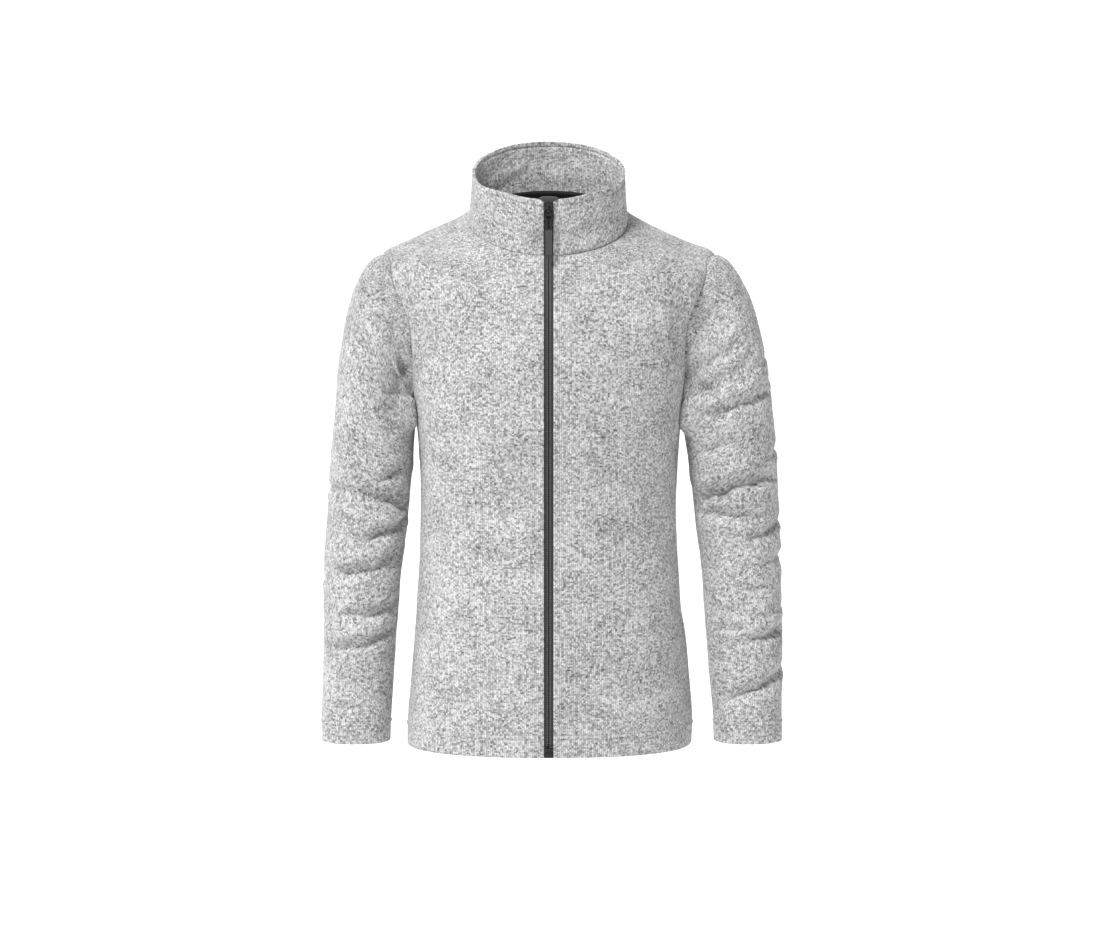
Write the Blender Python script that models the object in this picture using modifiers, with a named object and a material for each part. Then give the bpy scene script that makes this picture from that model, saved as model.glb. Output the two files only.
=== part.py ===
"""Knit fleece zip jacket, hollow and upright as if worn. Lengths in the tables are millimetres.

The frame: +X to the wearer's left, -Y is the front, +Z up. The origin is the middle of the neck
opening at the height where the shoulder seams meet the collar.
"""
from collections import namedtuple

import bmesh
import bpy
import numpy as np
from mathutils import Matrix, Vector

MM = 0.001

# ---------------------------------------------------------------- driving sizes
CLOTH = 2.2                  # one layer of knit fleece
TURNED = 3.6                 # a turned and stitched edge, two layers pressed together
SEAM_GAP = 0.3               # between two pieces at a seam or lying on each other
SEAM_EASE = 0.15             # more of a gap where a seam bends across a coarse mesh
HEM_TURN = 25.0              # height of the turned hem and cuffs
FRONT_TURN = 10.0            # width of the turned front edges beside the zip
ZIP_HALF_OPENING = 5.4       # half the strip of zip that shows between the fronts
UNDERARM_GAP = 1.0           # sleeve to body where they lie against each other

TAPE = 0.9                   # zip tape thickness
TAPE_WIDTH = 14.5            # from the middle of the zip to the tape's sewn edge
TAPE_TOP, COIL_TOP = 1.5, 3.0         # how far below the collar edge they end
COIL, COIL_WIDTH = 1.6, 5.2  # the nylon coil behind the tapes

BOX_WIDTH, BOX_DEPTH, BOX_HEIGHT = 10.0, 5.8, 14.0    # the retainer at the hem
BOX_RECESS = 0.6             # how far its face lies behind the face of the cloth

SLIDER_LENGTH, SLIDER_WIDTH, SLIDER_PLATE = 19.0, 12.4, 1.45
SLIDER_CENTRE = 11.5         # below the collar edge
SLIDER_ABOVE = 0.5           # underside of its front plate above the cloth
SLIDER_CORE = 2.1            # how deep its core reaches into the zip
BRIDGE_LENGTH, BRIDGE_WIDTH, BRIDGE_TOP = 10.0, 3.4, 5.8
EYE_LENGTH, EYE_LOW, EYE_TOP = 6.4, 2.0, 4.6          # the window through the bridge

PULL_ALONG, PULL_ABOVE = -1.5, 3.3    # hinge of the pull, up the cloth from the slider's middle
PULL_LENGTH, PULL_WIDTH, PULL_THICK = 56.0, 9.6, 1.5
LINK_LENGTH = 24.0           # the metal part of the pull
LINK_EYE_END, LINK_BAR = 8.4, 1.9     # its eye below the hinge, and the bars beside the eye
TAB_INSET = 0.2              # the rubber grip is this much narrower on each side

NECK_TAPE = 0.8              # its thickness
NECK_TAPE_BELOW, NECK_TAPE_ABOVE = 9.5, 2.0  # its reach either side of the neck seam
GUARD, GUARD_HALF, GUARD_HEIGHT = 1.3, 14.0, 30.0
GUARD_ABOVE = 3.0            # how far the guard stands above the collar edge
ROUNDING = 0.6               # of the small parts' edges
PLATE_ROUNDING, LINK_ROUNDING, BOX_ROUNDING = 0.5, 0.35, 0.4
ROUNDING_SEGMENTS = 2

# The body as stacked loops from hem to neck seam. Each loop has its own height at the front,
# side and back, its half width, its depths before and behind the shoulder line, and the
# exponent of its super-ellipse (2 is an ellipse, more is squarer).
Loop = namedtuple("Loop", "name front_z side_z back_z half_width front back squareness")
BODY_LOOPS = (
    Loop("hem edge", -690, -690, -690, 186.0, 121, 119, 2.35),
    Loop("hem fold", -664, -664, -664, 185.5, 122, 120, 2.35),
    Loop("hip", -600, -600, -600, 180.0, 124, 122, 2.35),
    Loop("high hip", -500, -500, -500, 172.5, 122, 114, 2.35),
    Loop("waist", -370, -370, -370, 166.5, 118, 103, 2.35),
    Loop("under bust", -300, -300, -296, 169.5, 124, 107, 2.35),
    Loop("underarm", -226, -238, -222, 176.0, 128, 115, 2.40),
    Loop("mid armhole", -150, -142, -140, 188.0, 119, 117, 2.30),
    Loop("shoulder tip", -92, -45, -42, 211.0, 100, 107, 2.05),
    Loop("yoke", -65, -26, 2, 157.0, 86, 82, 2.00),
    Loop("neck seam", -44, -1, 30, 104.0, 74, 53, 2.00),
)
UNDERARM, SHOULDER_TIP, NECK_SEAM = 6, 8, 10     # rows of the table that seams meet

COLLAR_LOOPS = (
    Loop("neck seam", -44, -1, 30, 104.0, 74, 53, 2.00),
    Loop("lower collar", -28, 13, 44, 102.0, 76, 54, 2.00),
    Loop("mid collar", -8, 31, 64, 100.5, 80, 56, 2.05),
    Loop("collar edge", 28, 59, 95, 99.5, 86, 58, 2.10),
)

SIDE_SEAM = 92.0             # degrees round from the front centre
ARMHOLE_TOP = 77.0           # where the forward shoulder seam meets the armhole
SHOULDER_AT_NECK = 84.0      # where it meets the neck seam
ARMHOLE_FRONT = 17.0         # how far the armhole is scooped towards the front, degrees
ARMHOLE_BACK = 26.0          # and towards the back

# The sleeves as rings from the upper arm to the cuff edge. centre_x is the distance from the
# middle of the body, and rise is how far the outer side of a ring stands above its middle.
Ring = namedtuple("Ring", "name z centre_x centre_y half_width half_depth rise")
SLEEVE_RIGHT_RINGS = (
    Ring("biceps", -232, 224.0, 0, 50.5, 68, 32),
    Ring("upper arm", -306, 229.5, 0, 52.5, 66, 16),
    Ring("elbow", -384, 236.5, -1, 52.5, 61, 6),
    Ring("forearm", -464, 243.5, -6, 51.0, 55, 0),
    Ring("mid forearm", -564, 247.5, -14, 47.0, 48, 0),
    Ring("wrist", -644, 251.0, -21, 45.5, 41, 0),
    Ring("cuff edge", -683, 252.0, -24, 45.0, 38, 0),
)
SLEEVE_LEFT_RINGS = (
    Ring("biceps", -232, 229.5, 0, 56.5, 68, 32),
    Ring("upper arm", -306, 239.5, 0, 56.5, 66, 16),
    Ring("elbow", -384, 246.0, -1, 55.0, 61, 6),
    Ring("forearm", -464, 251.5, -6, 52.0, 55, 0),
    Ring("mid forearm", -564, 256.5, -14, 49.0, 48, 0),
    Ring("wrist", -644, 259.5, -21, 45.5, 41, 0),
    Ring("cuff edge", -683, 260.5, -24, 45.0, 38, 0),
)
SLEEVE_SQUARENESS = 2.15
CAP = 120.0                  # nominal length of the sleeve head, armhole seam to biceps ring
CAP_TURN_TOP, CAP_TURN_UNDERARM = 50.0, 74.0    # how steeply the head leaves the armhole
CAP_CREASE_FADE = 12.0       # creases die away over this length before the armhole seam
SLEEVE_MM_PER_DEGREE, BODY_MM_PER_DEGREE = 0.95, 2.6    # round the cloth, for the creases
CREASE_ROLL = 0.42           # height of the rolls beside a crease against its depth

# Creases: a line through three places, each an angle and a height, pressed in by depth over
# about width to each side. On a sleeve the angle runs from the outer side (0) over the front
# (90) to the inner side (180) and the back (270).
Crease = namedtuple("Crease", "name from_angle from_z by_angle by_z to_angle to_z depth width")
SLEEVE_RIGHT_CREASES = (
    Crease("armpit", 90, -241, 110, -240, 134, -244, 2.5, 9),
    Crease("sleeve head", 46, -116, 86, -157, 118, -190, 4.0, 10),
    Crease("sleeve head low", 80, -165, 108, -190, 136, -214, 3.0, 9),
    Crease("upper diagonal", 104, -337, 124, -329, 148, -319, 3.5, 8),
    Crease("elbow", 4, -353, 86, -357, 166, -378, 6.5, 10),
    Crease("below elbow", 96, -411, 126, -405, 172, -389, 4.5, 9),
    Crease("forearm", 8, -458, 98, -455, 158, -427, 5.5, 10),
    Crease("low forearm", 60, -507, 104, -514, 176, -495, 4.5, 10),
    Crease("wrist", 28, -557, 94, -553, 164, -524, 4.0, 9),
    Crease("back armpit", 200, -236, 232, -212, 264, -176, 4.0, 11),
    Crease("back upper", 222, -268, 262, -290, 312, -298, 3.5, 11),
    Crease("back elbow", 194, -352, 236, -338, 292, -343, 5.5, 11),
    Crease("back below elbow", 190, -410, 232, -420, 278, -406, 4.0, 10),
    Crease("back forearm", 200, -468, 245, -482, 306, -472, 4.5, 11),
    Crease("back wrist", 196, -540, 240, -552, 300, -546, 3.5, 10),
)
SLEEVE_LEFT_CREASES = (
    Crease("sleeve head", 56, -115, 78, -142, 102, -166, 3.5, 8),
    Crease("sleeve head mid", 54, -152, 84, -178, 120, -197, 4.5, 9),
    Crease("sleeve head low", 40, -174, 86, -205, 136, -231, 5.0, 10),
    Crease("upper", 14, -225, 68, -236, 124, -264, 5.0, 10),
    Crease("upper inner", 74, -280, 100, -289, 128, -302, 3.0, 9),
    Crease("elbow", 26, -337, 80, -340, 148, -374, 6.5, 10),
    Crease("below elbow", 160, -382, 104, -381, 58, -388, 5.0, 9),
    Crease("forearm", 18, -405, 50, -407, 80, -418, 3.5, 9),
    Crease("forearm outer", -30, -440, 2, -444, 34, -440, 3.0, 9),
    Crease("low forearm", 8, -532, 52, -542, 84, -548, 4.5, 9),
    Crease("wrist", 12, -583, 70, -610, 122, -626, 4.5, 10),
    Crease("back armpit", 202, -232, 234, -208, 266, -172, 4.0, 11),
    Crease("back upper", 224, -274, 262, -296, 310, -300, 3.5, 11),
    Crease("back elbow", 190, -366, 238, -348, 296, -350, 5.5, 11),
    Crease("back below elbow", 196, -424, 236, -416, 284, -426, 4.0, 10),
    Crease("back forearm", 198, -482, 246, -496, 300, -490, 4.5, 11),
    Crease("back wrist", 200, -560, 244, -566, 296, -556, 3.5, 10),
)
BODY_CREASES = (
    Crease("waist left", 42, -357, 53, -388, 66, -421, 4.0, 13),
    Crease("hip right", -72, -541, -58, -542, -44, -548, 3.0, 13),
    Crease("chest left", 47, -80, 51, -106, 60, -132, 3.0, 9),
    Crease("chest right", -52, -120, -58, -152, -68, -190, 3.0, 10),
    Crease("small of back left", 118, -350, 142, -370, 168, -378, 4.5, 14),
    Crease("small of back right", 244, -343, 218, -366, 194, -380, 4.5, 14),
    Crease("back hip", 232, -452, 206, -462, 180, -458, 3.0, 14),
)

# Mesh densities
ROWS_BELOW_ARM, ROWS_ARMHOLE, ROWS_YOKE, ROWS_COLLAR = 11, 11, 4, 5
FRONT_COLUMNS, BACK_COLUMNS = 8, 16
SLEEVE_ROWS_CAP, SLEEVE_ROWS_ARM = 9, 37
OUTLINE_ROWS = 120           # heights at which the sleeves read how wide the body is

TURN_STEP, PLACE_STEP = 0.2, 0.5      # degrees and millimetres, to take a direction on the cloth
SLEEVE_TURN_STEP = 0.5


# ---------------------------------------------------------------- curves and surfaces
def smooth_rows(knots, values, at):
    """Values of a table's columns at the places `at`, on a smooth curve through its rows."""
    knots, values, at = (np.asarray(a, float) for a in (knots, values, at))
    steps = np.diff(knots)
    slopes = np.diff(values, axis=0) / steps[:, None]
    before, after = steps[:-1, None], steps[1:, None]
    bends = (slopes[:-1] * after + slopes[1:] * before) / (before + after)
    tangents = np.concatenate([slopes[:1], bends, slopes[-1:]])
    i = np.clip(np.searchsorted(knots, at, side="right") - 1, 0, len(steps) - 1)
    h = steps[i][..., None]
    t = (at - knots[i])[..., None] / h
    return (
        values[i] * (1 + 2 * t) * (1 - t) ** 2
        + tangents[i] * h * t * (1 - t) ** 2
        + values[i + 1] * t * t * (3 - 2 * t)
        + tangents[i + 1] * h * t * t * (t - 1)
    )


def unit(vectors):
    return vectors / np.linalg.norm(vectors, axis=-1, keepdims=True)


def super_ellipse(angle, squareness):
    """Sine and cosine of an angle in degrees, on a super-ellipse of radius 1."""
    sine, cosine = np.sin(np.radians(angle)), np.cos(np.radians(angle))
    size = (np.abs(sine) ** squareness + np.abs(cosine) ** squareness) ** (-1 / squareness)
    return sine * size, cosine * size


def crease_depth(creases, mm_per_degree, angle, height):
    """How far the creases press the cloth in at each point, less the low rolls beside them."""
    total = np.zeros(np.broadcast(angle, height).shape)
    along = np.linspace(0, 1, 9)
    weights = (1 - along) * (1 - 2 * along), 4 * along * (1 - along), along * (2 * along - 1)
    for crease in creases:
        angles = crease.from_angle, crease.by_angle, crease.to_angle
        heights = crease.from_z, crease.by_z, crease.to_z
        line_angle = sum(weight * place for weight, place in zip(weights, angles))
        line_z = sum(weight * place for weight, place in zip(weights, heights))
        turned = crease.by_angle + (angle - crease.by_angle + 180) % 360 - 180
        x, y = turned * mm_per_degree, height
        nearest, where = np.full(total.shape, 1e9), np.zeros(total.shape)
        for k in range(len(along) - 1):
            ax, ay = line_angle[k] * mm_per_degree, line_z[k]
            bx, by = line_angle[k + 1] * mm_per_degree - ax, line_z[k + 1] - ay
            t = np.clip(((x - ax) * bx + (y - ay) * by) / (bx * bx + by * by), 0, 1)
            distance = np.hypot(x - ax - t * bx, y - ay - t * by)
            where = np.where(distance < nearest, (k + t) / (len(along) - 1), where)
            nearest = np.minimum(distance, nearest)
        across = nearest / crease.width
        valley = np.exp(-(across**2)) - CREASE_ROLL * np.exp(-((across - 2.0) ** 2) / 1.1)
        total += crease.depth * valley * (1 - (2 * where - 1) ** 4)
    return total


class Loft:
    """Cloth through a table of loops. A point on it has an angle round it and a place up it."""

    def __init__(self, loops, creases=()):
        self.rows = np.array([loop[1:] for loop in loops], float)
        rise = np.diff((self.rows[:, 0] + self.rows[:, 2]) / 2)
        draw = np.diff((self.rows[:, 4] + self.rows[:, 5]) / 2)
        self.places = np.concatenate([[0], np.cumsum(np.hypot(rise, draw))])
        self.creases = creases

    def point(self, angle, place):
        angle, place = np.broadcast_arrays(angle, place)
        row = np.moveaxis(smooth_rows(self.places, self.rows, place), -1, 0)
        front_z, side_z, back_z, half_width, front, back, squareness = row
        across, along = super_ellipse(angle, squareness)
        depth = np.where(along > 0, front, back)
        tilt, sag = (front_z - back_z) / 2, (front_z + back_z) / 2 - side_z
        height = side_z + tilt * along + sag * along**2
        inward = crease_depth(self.creases, BODY_MM_PER_DEGREE, angle, height)
        x = half_width * across - inward * np.sin(np.radians(angle))
        y = -depth * along + inward * np.cos(np.radians(angle))
        return np.stack([x, y, height], -1)

    def directions(self, angle, place):
        """Unit vectors out of the cloth, round it and up it."""
        around = unit(self.point(angle + TURN_STEP, place) - self.point(angle - TURN_STEP, place))
        middle = np.clip(place, self.places[0] + PLACE_STEP, self.places[-1] - PLACE_STEP)
        up = unit(self.point(angle, middle + PLACE_STEP) - self.point(angle, middle - PLACE_STEP))
        return unit(np.cross(around, up)), around, up

    def angle_at(self, x, place):
        """Angle at which the loop is x to the wearer's left of the middle, on the front."""
        row = smooth_rows(self.places, self.rows, place)
        across = x / row[..., 3]
        along = (1 - np.abs(across) ** row[..., 6]) ** (1 / row[..., 6])
        return np.degrees(np.arctan2(across, along))


BODY = Loft(BODY_LOOPS, BODY_CREASES)
COLLAR = Loft(COLLAR_LOOPS)


def seam_angle(place, scoop):
    """Angle of the side seam, the armhole and the shoulder seam, one above the other."""
    underarm, tip, neck = BODY.places[[UNDERARM, SHOULDER_TIP, NECK_SEAM]]
    t = np.clip((place - underarm) / (tip - underarm), 0, 1)
    armhole = SIDE_SEAM + (ARMHOLE_TOP - SIDE_SEAM) * t + scoop * 2 * np.sqrt(t * (1 - t))
    shoulder = ARMHOLE_TOP + (SHOULDER_AT_NECK - ARMHOLE_TOP) * (place - tip) / (neck - tip)
    return np.where(place > tip, shoulder, armhole)


def armhole_height(angle):
    """How far up the armhole, from 0 to 1, a sleeve's column at this angle is sewn."""
    from_top = np.abs((angle + 180) % 360 - 180) / 180
    return 0.5 * (1 + np.cos(np.pi * from_top)) / 2 + 0.5 * (1 - from_top)


class Sleeve:
    """A sleeve's cloth by angle round it and place down it, from -CAP at the armhole seam."""

    def __init__(self, side, rings, creases):
        self.side = side             # +1 for the wearer's left
        self.rows = np.array([ring[1:] for ring in rings], float)
        self.depths = self.rows[0, 0] - self.rows[:, 0]
        self.creases = creases

    def armhole(self, angle):
        """Point of the armhole seam, with the body's outward normal and the way into the hole."""
        underarm, tip = BODY.places[[UNDERARM, SHOULDER_TIP]]

        def on_body(turn):
            place = underarm + (tip - underarm) * armhole_height(turn)
            front = np.sin(np.radians(turn)) > 0
            return self.side * seam_angle(place, np.where(front, -ARMHOLE_FRONT, ARMHOLE_BACK)), place

        seam = BODY.point(*on_body(angle))
        normal = BODY.directions(*on_body(angle))[0]
        run = BODY.point(*on_body(angle + SLEEVE_TURN_STEP))
        run = run - BODY.point(*on_body(angle - SLEEVE_TURN_STEP))
        return seam, normal, self.side * unit(np.cross(normal, run))

    def leaving(self, angle):
        """The seam with its gap, the way the sleeve leaves it, and the mitre of the two cloths."""
        seam, normal, inward = self.armhole(angle)
        lower = (1 - np.cos(np.radians(angle))) / 2
        turn = np.radians(CAP_TURN_TOP + (CAP_TURN_UNDERARM - CAP_TURN_TOP) * lower)[..., None]
        leave = inward * np.cos(turn) + normal * np.sin(turn)
        own_normal = normal * np.cos(turn) - inward * np.sin(turn)
        slant = np.minimum(np.sum(own_normal * inward, -1), 0)
        slant /= 1 + np.sum(own_normal * normal, -1)
        return seam + inward * (SEAM_GAP + SEAM_EASE), leave, normal + slant[..., None] * inward

    def ring(self, angle, place):
        z, centre_x, centre_y, half_width, half_depth, rise = np.moveaxis(
            smooth_rows(self.depths, self.rows, place), -1, 0
        )
        forward, outward = super_ellipse(angle, SLEEVE_SQUARENESS)
        x = centre_x + half_width * outward
        height = z + rise * outward
        x = np.maximum(x, self.body_edge(centre_y - half_depth * forward, height))
        return np.stack([self.side * x, centre_y - half_depth * forward, height], -1)

    def body_edge(self, y, z):
        """How far out the sleeve has to stay at a height below the underarm."""
        loops = smooth_rows(BODY.places, BODY.rows, np.linspace(0, BODY.places[UNDERARM], OUTLINE_ROWS))
        half_width, front, back, squareness = (
            np.interp(z, loops[:, 1], loops[:, column]) for column in (3, 4, 5, 6)
        )
        across = np.minimum(np.abs(y) / np.where(y < 0, front, back), 1)
        return half_width * (1 - across**squareness) ** (1 / squareness) + UNDERARM_GAP

    def point(self, angle, place):
        angle, place = np.broadcast_arrays(np.asarray(angle, float), np.asarray(place, float))
        start, leave, _ = self.leaving(angle)
        top = self.ring(angle, np.zeros_like(place))
        down = unit(self.ring(angle, np.full_like(place, 2.0)) - top)
        reach = np.linalg.norm(top - start, axis=-1, keepdims=True)
        reach *= 1 - 0.1 * ((1 + np.cos(np.radians(angle))) / 2)[..., None] ** 2
        t = np.clip(place / CAP + 1, 0, 1)[..., None]
        cap = (
            start * (1 + 2 * t) * (1 - t) ** 2
            + leave * reach * t * (1 - t) ** 2
            + top * t * t * (3 - 2 * t)
            + down * reach * t * t * (t - 1)
        )
        below = (place > 0)[..., None]
        base = np.where(below, self.ring(angle, np.maximum(place, 0)), cap)
        inward = crease_depth(self.creases, SLEEVE_MM_PER_DEGREE, angle, base[..., 2])
        inward = inward * np.clip((place + CAP) / CAP_CREASE_FADE, 0, 1)
        x = self.side * base[..., 0] - inward * np.cos(np.radians(angle))
        y = base[..., 1] + inward * np.sin(np.radians(angle))
        height = base[..., 2]
        beside_body = height < BODY.rows[UNDERARM, 1]
        x = np.where(beside_body, np.maximum(x, self.body_edge(y, height)), x)
        return np.stack([self.side * x, y, height], -1)

    def normal(self, angle, place):
        around = self.point(angle + SLEEVE_TURN_STEP, place)
        around = around - self.point(angle - SLEEVE_TURN_STEP, place)
        low = np.maximum(place - PLACE_STEP, -CAP)
        high = np.minimum(place + PLACE_STEP, self.depths[-1])
        down = self.point(angle, high) - self.point(angle, low)
        return self.side * unit(np.cross(around, down))


SLEEVES = {
    "left": Sleeve(1, SLEEVE_LEFT_RINGS, SLEEVE_LEFT_CREASES),
    "right": Sleeve(-1, SLEEVE_RIGHT_RINGS, SLEEVE_RIGHT_CREASES),
}


# ---------------------------------------------------------------- mesh rows and columns
def body_places():
    """Places of the mesh rows: up to the underarm, round the armhole, and on to the neck."""
    underarm, tip, neck = BODY.places[[UNDERARM, SHOULDER_TIP, NECK_SEAM]]
    below = np.linspace(HEM_TURN, underarm, ROWS_BELOW_ARM)
    turns = 180 - 180 * np.arange(1, ROWS_ARMHOLE + 1) / ROWS_ARMHOLE
    armhole = underarm + (tip - underarm) * armhole_height(turns)
    yoke = np.linspace(tip, neck, ROWS_YOKE + 1)[1:]
    return np.concatenate([[0], below, armhole, yoke])


def spread(surface, start, end, place, columns, first=None):
    """Angles of one mesh row, evenly spaced along the cloth after an optional narrow column."""
    dense = np.linspace(start, end, 181)
    steps = np.linalg.norm(np.diff(surface.point(dense, place), axis=0), axis=1)
    length = np.concatenate([[0], np.cumsum(steps)])
    even = np.linspace(first or 0, length[-1], columns + (first is None))
    return np.interp(even if first is None else np.concatenate([[0], even]), length, dense)


def front_angles(surface, place, seam):
    zip_edge = surface.angle_at(ZIP_HALF_OPENING, place)
    return spread(surface, zip_edge, seam, place, FRONT_COLUMNS, FRONT_TURN)


# ---------------------------------------------------------------- solids
def material(name, colour, roughness, metallic=0.0):
    made = bpy.data.materials.new(name)
    made.use_nodes = True
    shader = made.node_tree.nodes["Principled BSDF"]
    shader.inputs["Base Color"].default_value = (*colour, 1.0)
    shader.inputs["Roughness"].default_value = roughness
    shader.inputs["Metallic"].default_value = metallic
    made.diffuse_color = (*colour, 1.0)
    return made


def solid(name, mesh_builder, finish, collection):
    """An object from a bmesh in millimetres, closed and facing out."""
    bm = bmesh.new()
    mesh_builder(bm)
    bmesh.ops.scale(bm, vec=(MM, MM, MM), verts=bm.verts)
    bmesh.ops.recalc_face_normals(bm, faces=bm.faces)
    if bm.calc_volume(signed=True) < 0:
        bmesh.ops.reverse_faces(bm, faces=bm.faces)
    bmesh.ops.triangulate(bm, faces=bm.faces, quad_method="SHORT_EDGE")
    mesh = bpy.data.meshes.new(name)
    bm.to_mesh(mesh)
    bm.free()
    mesh.materials.append(finish)
    mesh.shade_smooth()
    mesh.set_sharp_from_angle(angle=np.radians(50))
    made = bpy.data.objects.new(name, mesh)
    collection.objects.link(made)
    return made


def wall(outer, inner, round_tube=False):
    """Builder of a closed wall between two grids of points, rows by columns."""

    def build(bm):
        faces = [[[bm.verts.new(point) for point in row] for row in grid] for grid in (outer, inner)]
        rows, columns = len(outer), len(outer[0])
        wraps = columns if round_tube else columns - 1
        for grid in faces:
            for i in range(rows - 1):
                for j in range(wraps):
                    k = (j + 1) % columns
                    bm.faces.new((grid[i][j], grid[i][k], grid[i + 1][k], grid[i + 1][j]))
        out, back = faces
        for i in (0, rows - 1):
            for j in range(wraps):
                k = (j + 1) % columns
                bm.faces.new((out[i][j], out[i][k], back[i][k], back[i][j]))
        if not round_tube:
            for j in (0, columns - 1):
                for i in range(rows - 1):
                    bm.faces.new((out[i][j], out[i + 1][j], back[i + 1][j], back[i][j]))

    return build


def sheet_points(surface, angles, places, depth):
    """Grid of points on a surface, sunk by depth, a number or one for each point."""
    grid = np.stack([surface.point(row, place) for row, place in zip(angles, places)])
    normals = np.stack([surface.directions(row, place)[0] for row, place in zip(angles, places)])
    return grid - normals * np.broadcast_to(depth, grid.shape[:2])[..., None]


def part_seam(grid, column, neighbour, rows):
    """Draw one edge of a grid back by half the seam gap over some rows."""
    away = unit(grid[rows, neighbour] - grid[rows, column])
    grid[rows, column] += away * SEAM_GAP / 2


def body_panels(finish, collection):
    places = body_places()
    underarm, tip = 1 + ROWS_BELOW_ARM - 1, 1 + ROWS_BELOW_ARM + ROWS_ARMHOLE - 1
    sewn = np.r_[0 : underarm + 1, tip : len(places)]
    fronts = np.stack(
        [front_angles(BODY, place, seam_angle(place, -ARMHOLE_FRONT)) for place in places]
    )
    back = np.stack(
        [
            spread(BODY, turn, 360 - turn, place, BACK_COLUMNS)
            for place, turn in zip(places, seam_angle(places, ARMHOLE_BACK))
        ]
    )
    for name, angles in (("front_left", fronts), ("front_right", -fronts), ("back", back)):
        thickness = np.full(angles.shape, CLOTH)
        thickness[:2, 0 if name == "back" else 2 :] = TURNED
        outer = sheet_points(BODY, angles, places, 0)
        inner = sheet_points(BODY, angles, places, thickness)
        for grid in (outer, inner):
            part_seam(grid, -1, -2, sewn)
            if name == "back":
                part_seam(grid, 0, 1, sewn)
        solid(name, wall(outer, inner), finish, collection)


def sleeves(finish, collection):
    columns = 2 * ROWS_ARMHOLE
    angles = np.arange(columns) * 360.0 / columns
    for name, sleeve in SLEEVES.items():
        length = sleeve.depths[-1]
        cap = CAP * (np.linspace(0, 1, SLEEVE_ROWS_CAP + 1) ** 1.15 - 1)
        arm = np.linspace(0, length - HEM_TURN, SLEEVE_ROWS_ARM)[1:]
        places = np.concatenate([cap, arm, [length]])
        outer = np.stack([sleeve.point(angles, np.full(columns, place)) for place in places])
        normals = np.stack([sleeve.normal(angles, np.full(columns, place)) for place in places])
        normals[0] = sleeve.leaving(angles)[2]
        thickness = np.full(len(places), CLOTH)
        thickness[-2:] = TURNED
        inner = outer - normals * thickness[:, None, None]
        solid(f"sleeve_{name}", wall(outer, inner, round_tube=True), finish, collection)


def collar_angles(place):
    """Angles round the collar from the zip on the wearer's left, round the back, to the right."""
    front = front_angles(COLLAR, place, SHOULDER_AT_NECK)
    back = spread(COLLAR, SHOULDER_AT_NECK, 360 - SHOULDER_AT_NECK, place, BACK_COLUMNS)
    return np.concatenate([front, back[1:], 360 - front[-2::-1]])


def neck_mitre(angle):
    """At the neck seam: the gap's direction, and the mitre between body and collar cloth."""
    body_normal, _, body_up = BODY.directions(angle, np.full(np.shape(angle), BODY.places[-1]))
    collar_normal = COLLAR.directions(angle, np.zeros(np.shape(angle)))[0]
    slant = np.sum(collar_normal * body_up, -1) / (1 + np.sum(collar_normal * body_normal, -1))
    return body_up, body_normal + slant[..., None] * body_up


def collar(finish, collection):
    places = np.linspace(0, COLLAR.places[-1], ROWS_COLLAR + 1)
    angles = np.stack([collar_angles(place) for place in places])
    sheet = sheet_points(COLLAR, angles, places, 0)
    normals = sheet - sheet_points(COLLAR, angles, places, 1)
    gap_way, normals[0] = neck_mitre(angles[0])
    sheet[0] += gap_way * (SEAM_GAP + SEAM_EASE)
    sunk = np.full(angles.shape[1], CLOTH + SEAM_GAP)
    sunk[[0, 1, -2, -1]] += TAPE + SEAM_GAP      # over the zip tape
    sunk = sunk[None, :, None]
    solid("collar_outer", wall(sheet, sheet - normals * CLOTH), finish, collection)
    lining = wall(sheet - normals * sunk, sheet - normals * (sunk + CLOTH))
    solid("collar_inner", lining, finish, collection)


def neck_tape(finish, collection):
    """A tape over the neck seam inside, from shoulder seam to shoulder seam."""
    seam = BODY.places[-1]
    low, high = seam - NECK_TAPE_BELOW, NECK_TAPE_ABOVE
    angles = spread(BODY, SHOULDER_AT_NECK + 2, 358 - SHOULDER_AT_NECK, seam, BACK_COLUMNS)
    over_body, over_collar = CLOTH + 3 * SEAM_GAP, 2 * CLOTH + 4 * SEAM_GAP
    rows = (
        (BODY.point(angles, low), BODY.directions(angles, low)[0], over_body),
        (BODY.point(angles, seam), neck_mitre(angles)[1], over_collar),
        (COLLAR.point(angles, high), COLLAR.directions(angles, high)[0], over_collar),
    )
    outer = np.stack([points - normal * depth for points, normal, depth in rows])
    inner = np.stack([points - normal * (depth + NECK_TAPE) for points, normal, depth in rows])
    solid("neck_tape", wall(outer, inner), finish, collection)


def front_strip(xs, depth, low=0.0, high=0.0):
    """Points up the middle of the front, sunk by depth, from low above the hem to high below
    the collar edge."""
    body, up_collar = body_places(), np.linspace(0, COLLAR.places[-1], ROWS_COLLAR + 1)[1:]
    body[0], up_collar[-1] = low, COLLAR.places[-1] - high
    xs = np.asarray(xs, float)
    rows = []
    for surface, places in ((BODY, body), (COLLAR, up_collar)):
        for place in places:
            angles = surface.angle_at(xs, place)
            at_seam = surface is BODY and place == body[-1]
            normals = neck_mitre(angles)[1] if at_seam else surface.directions(angles, place)[0]
            rows.append(surface.point(angles, place) - depth * normals)
    return np.stack(rows)


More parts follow.
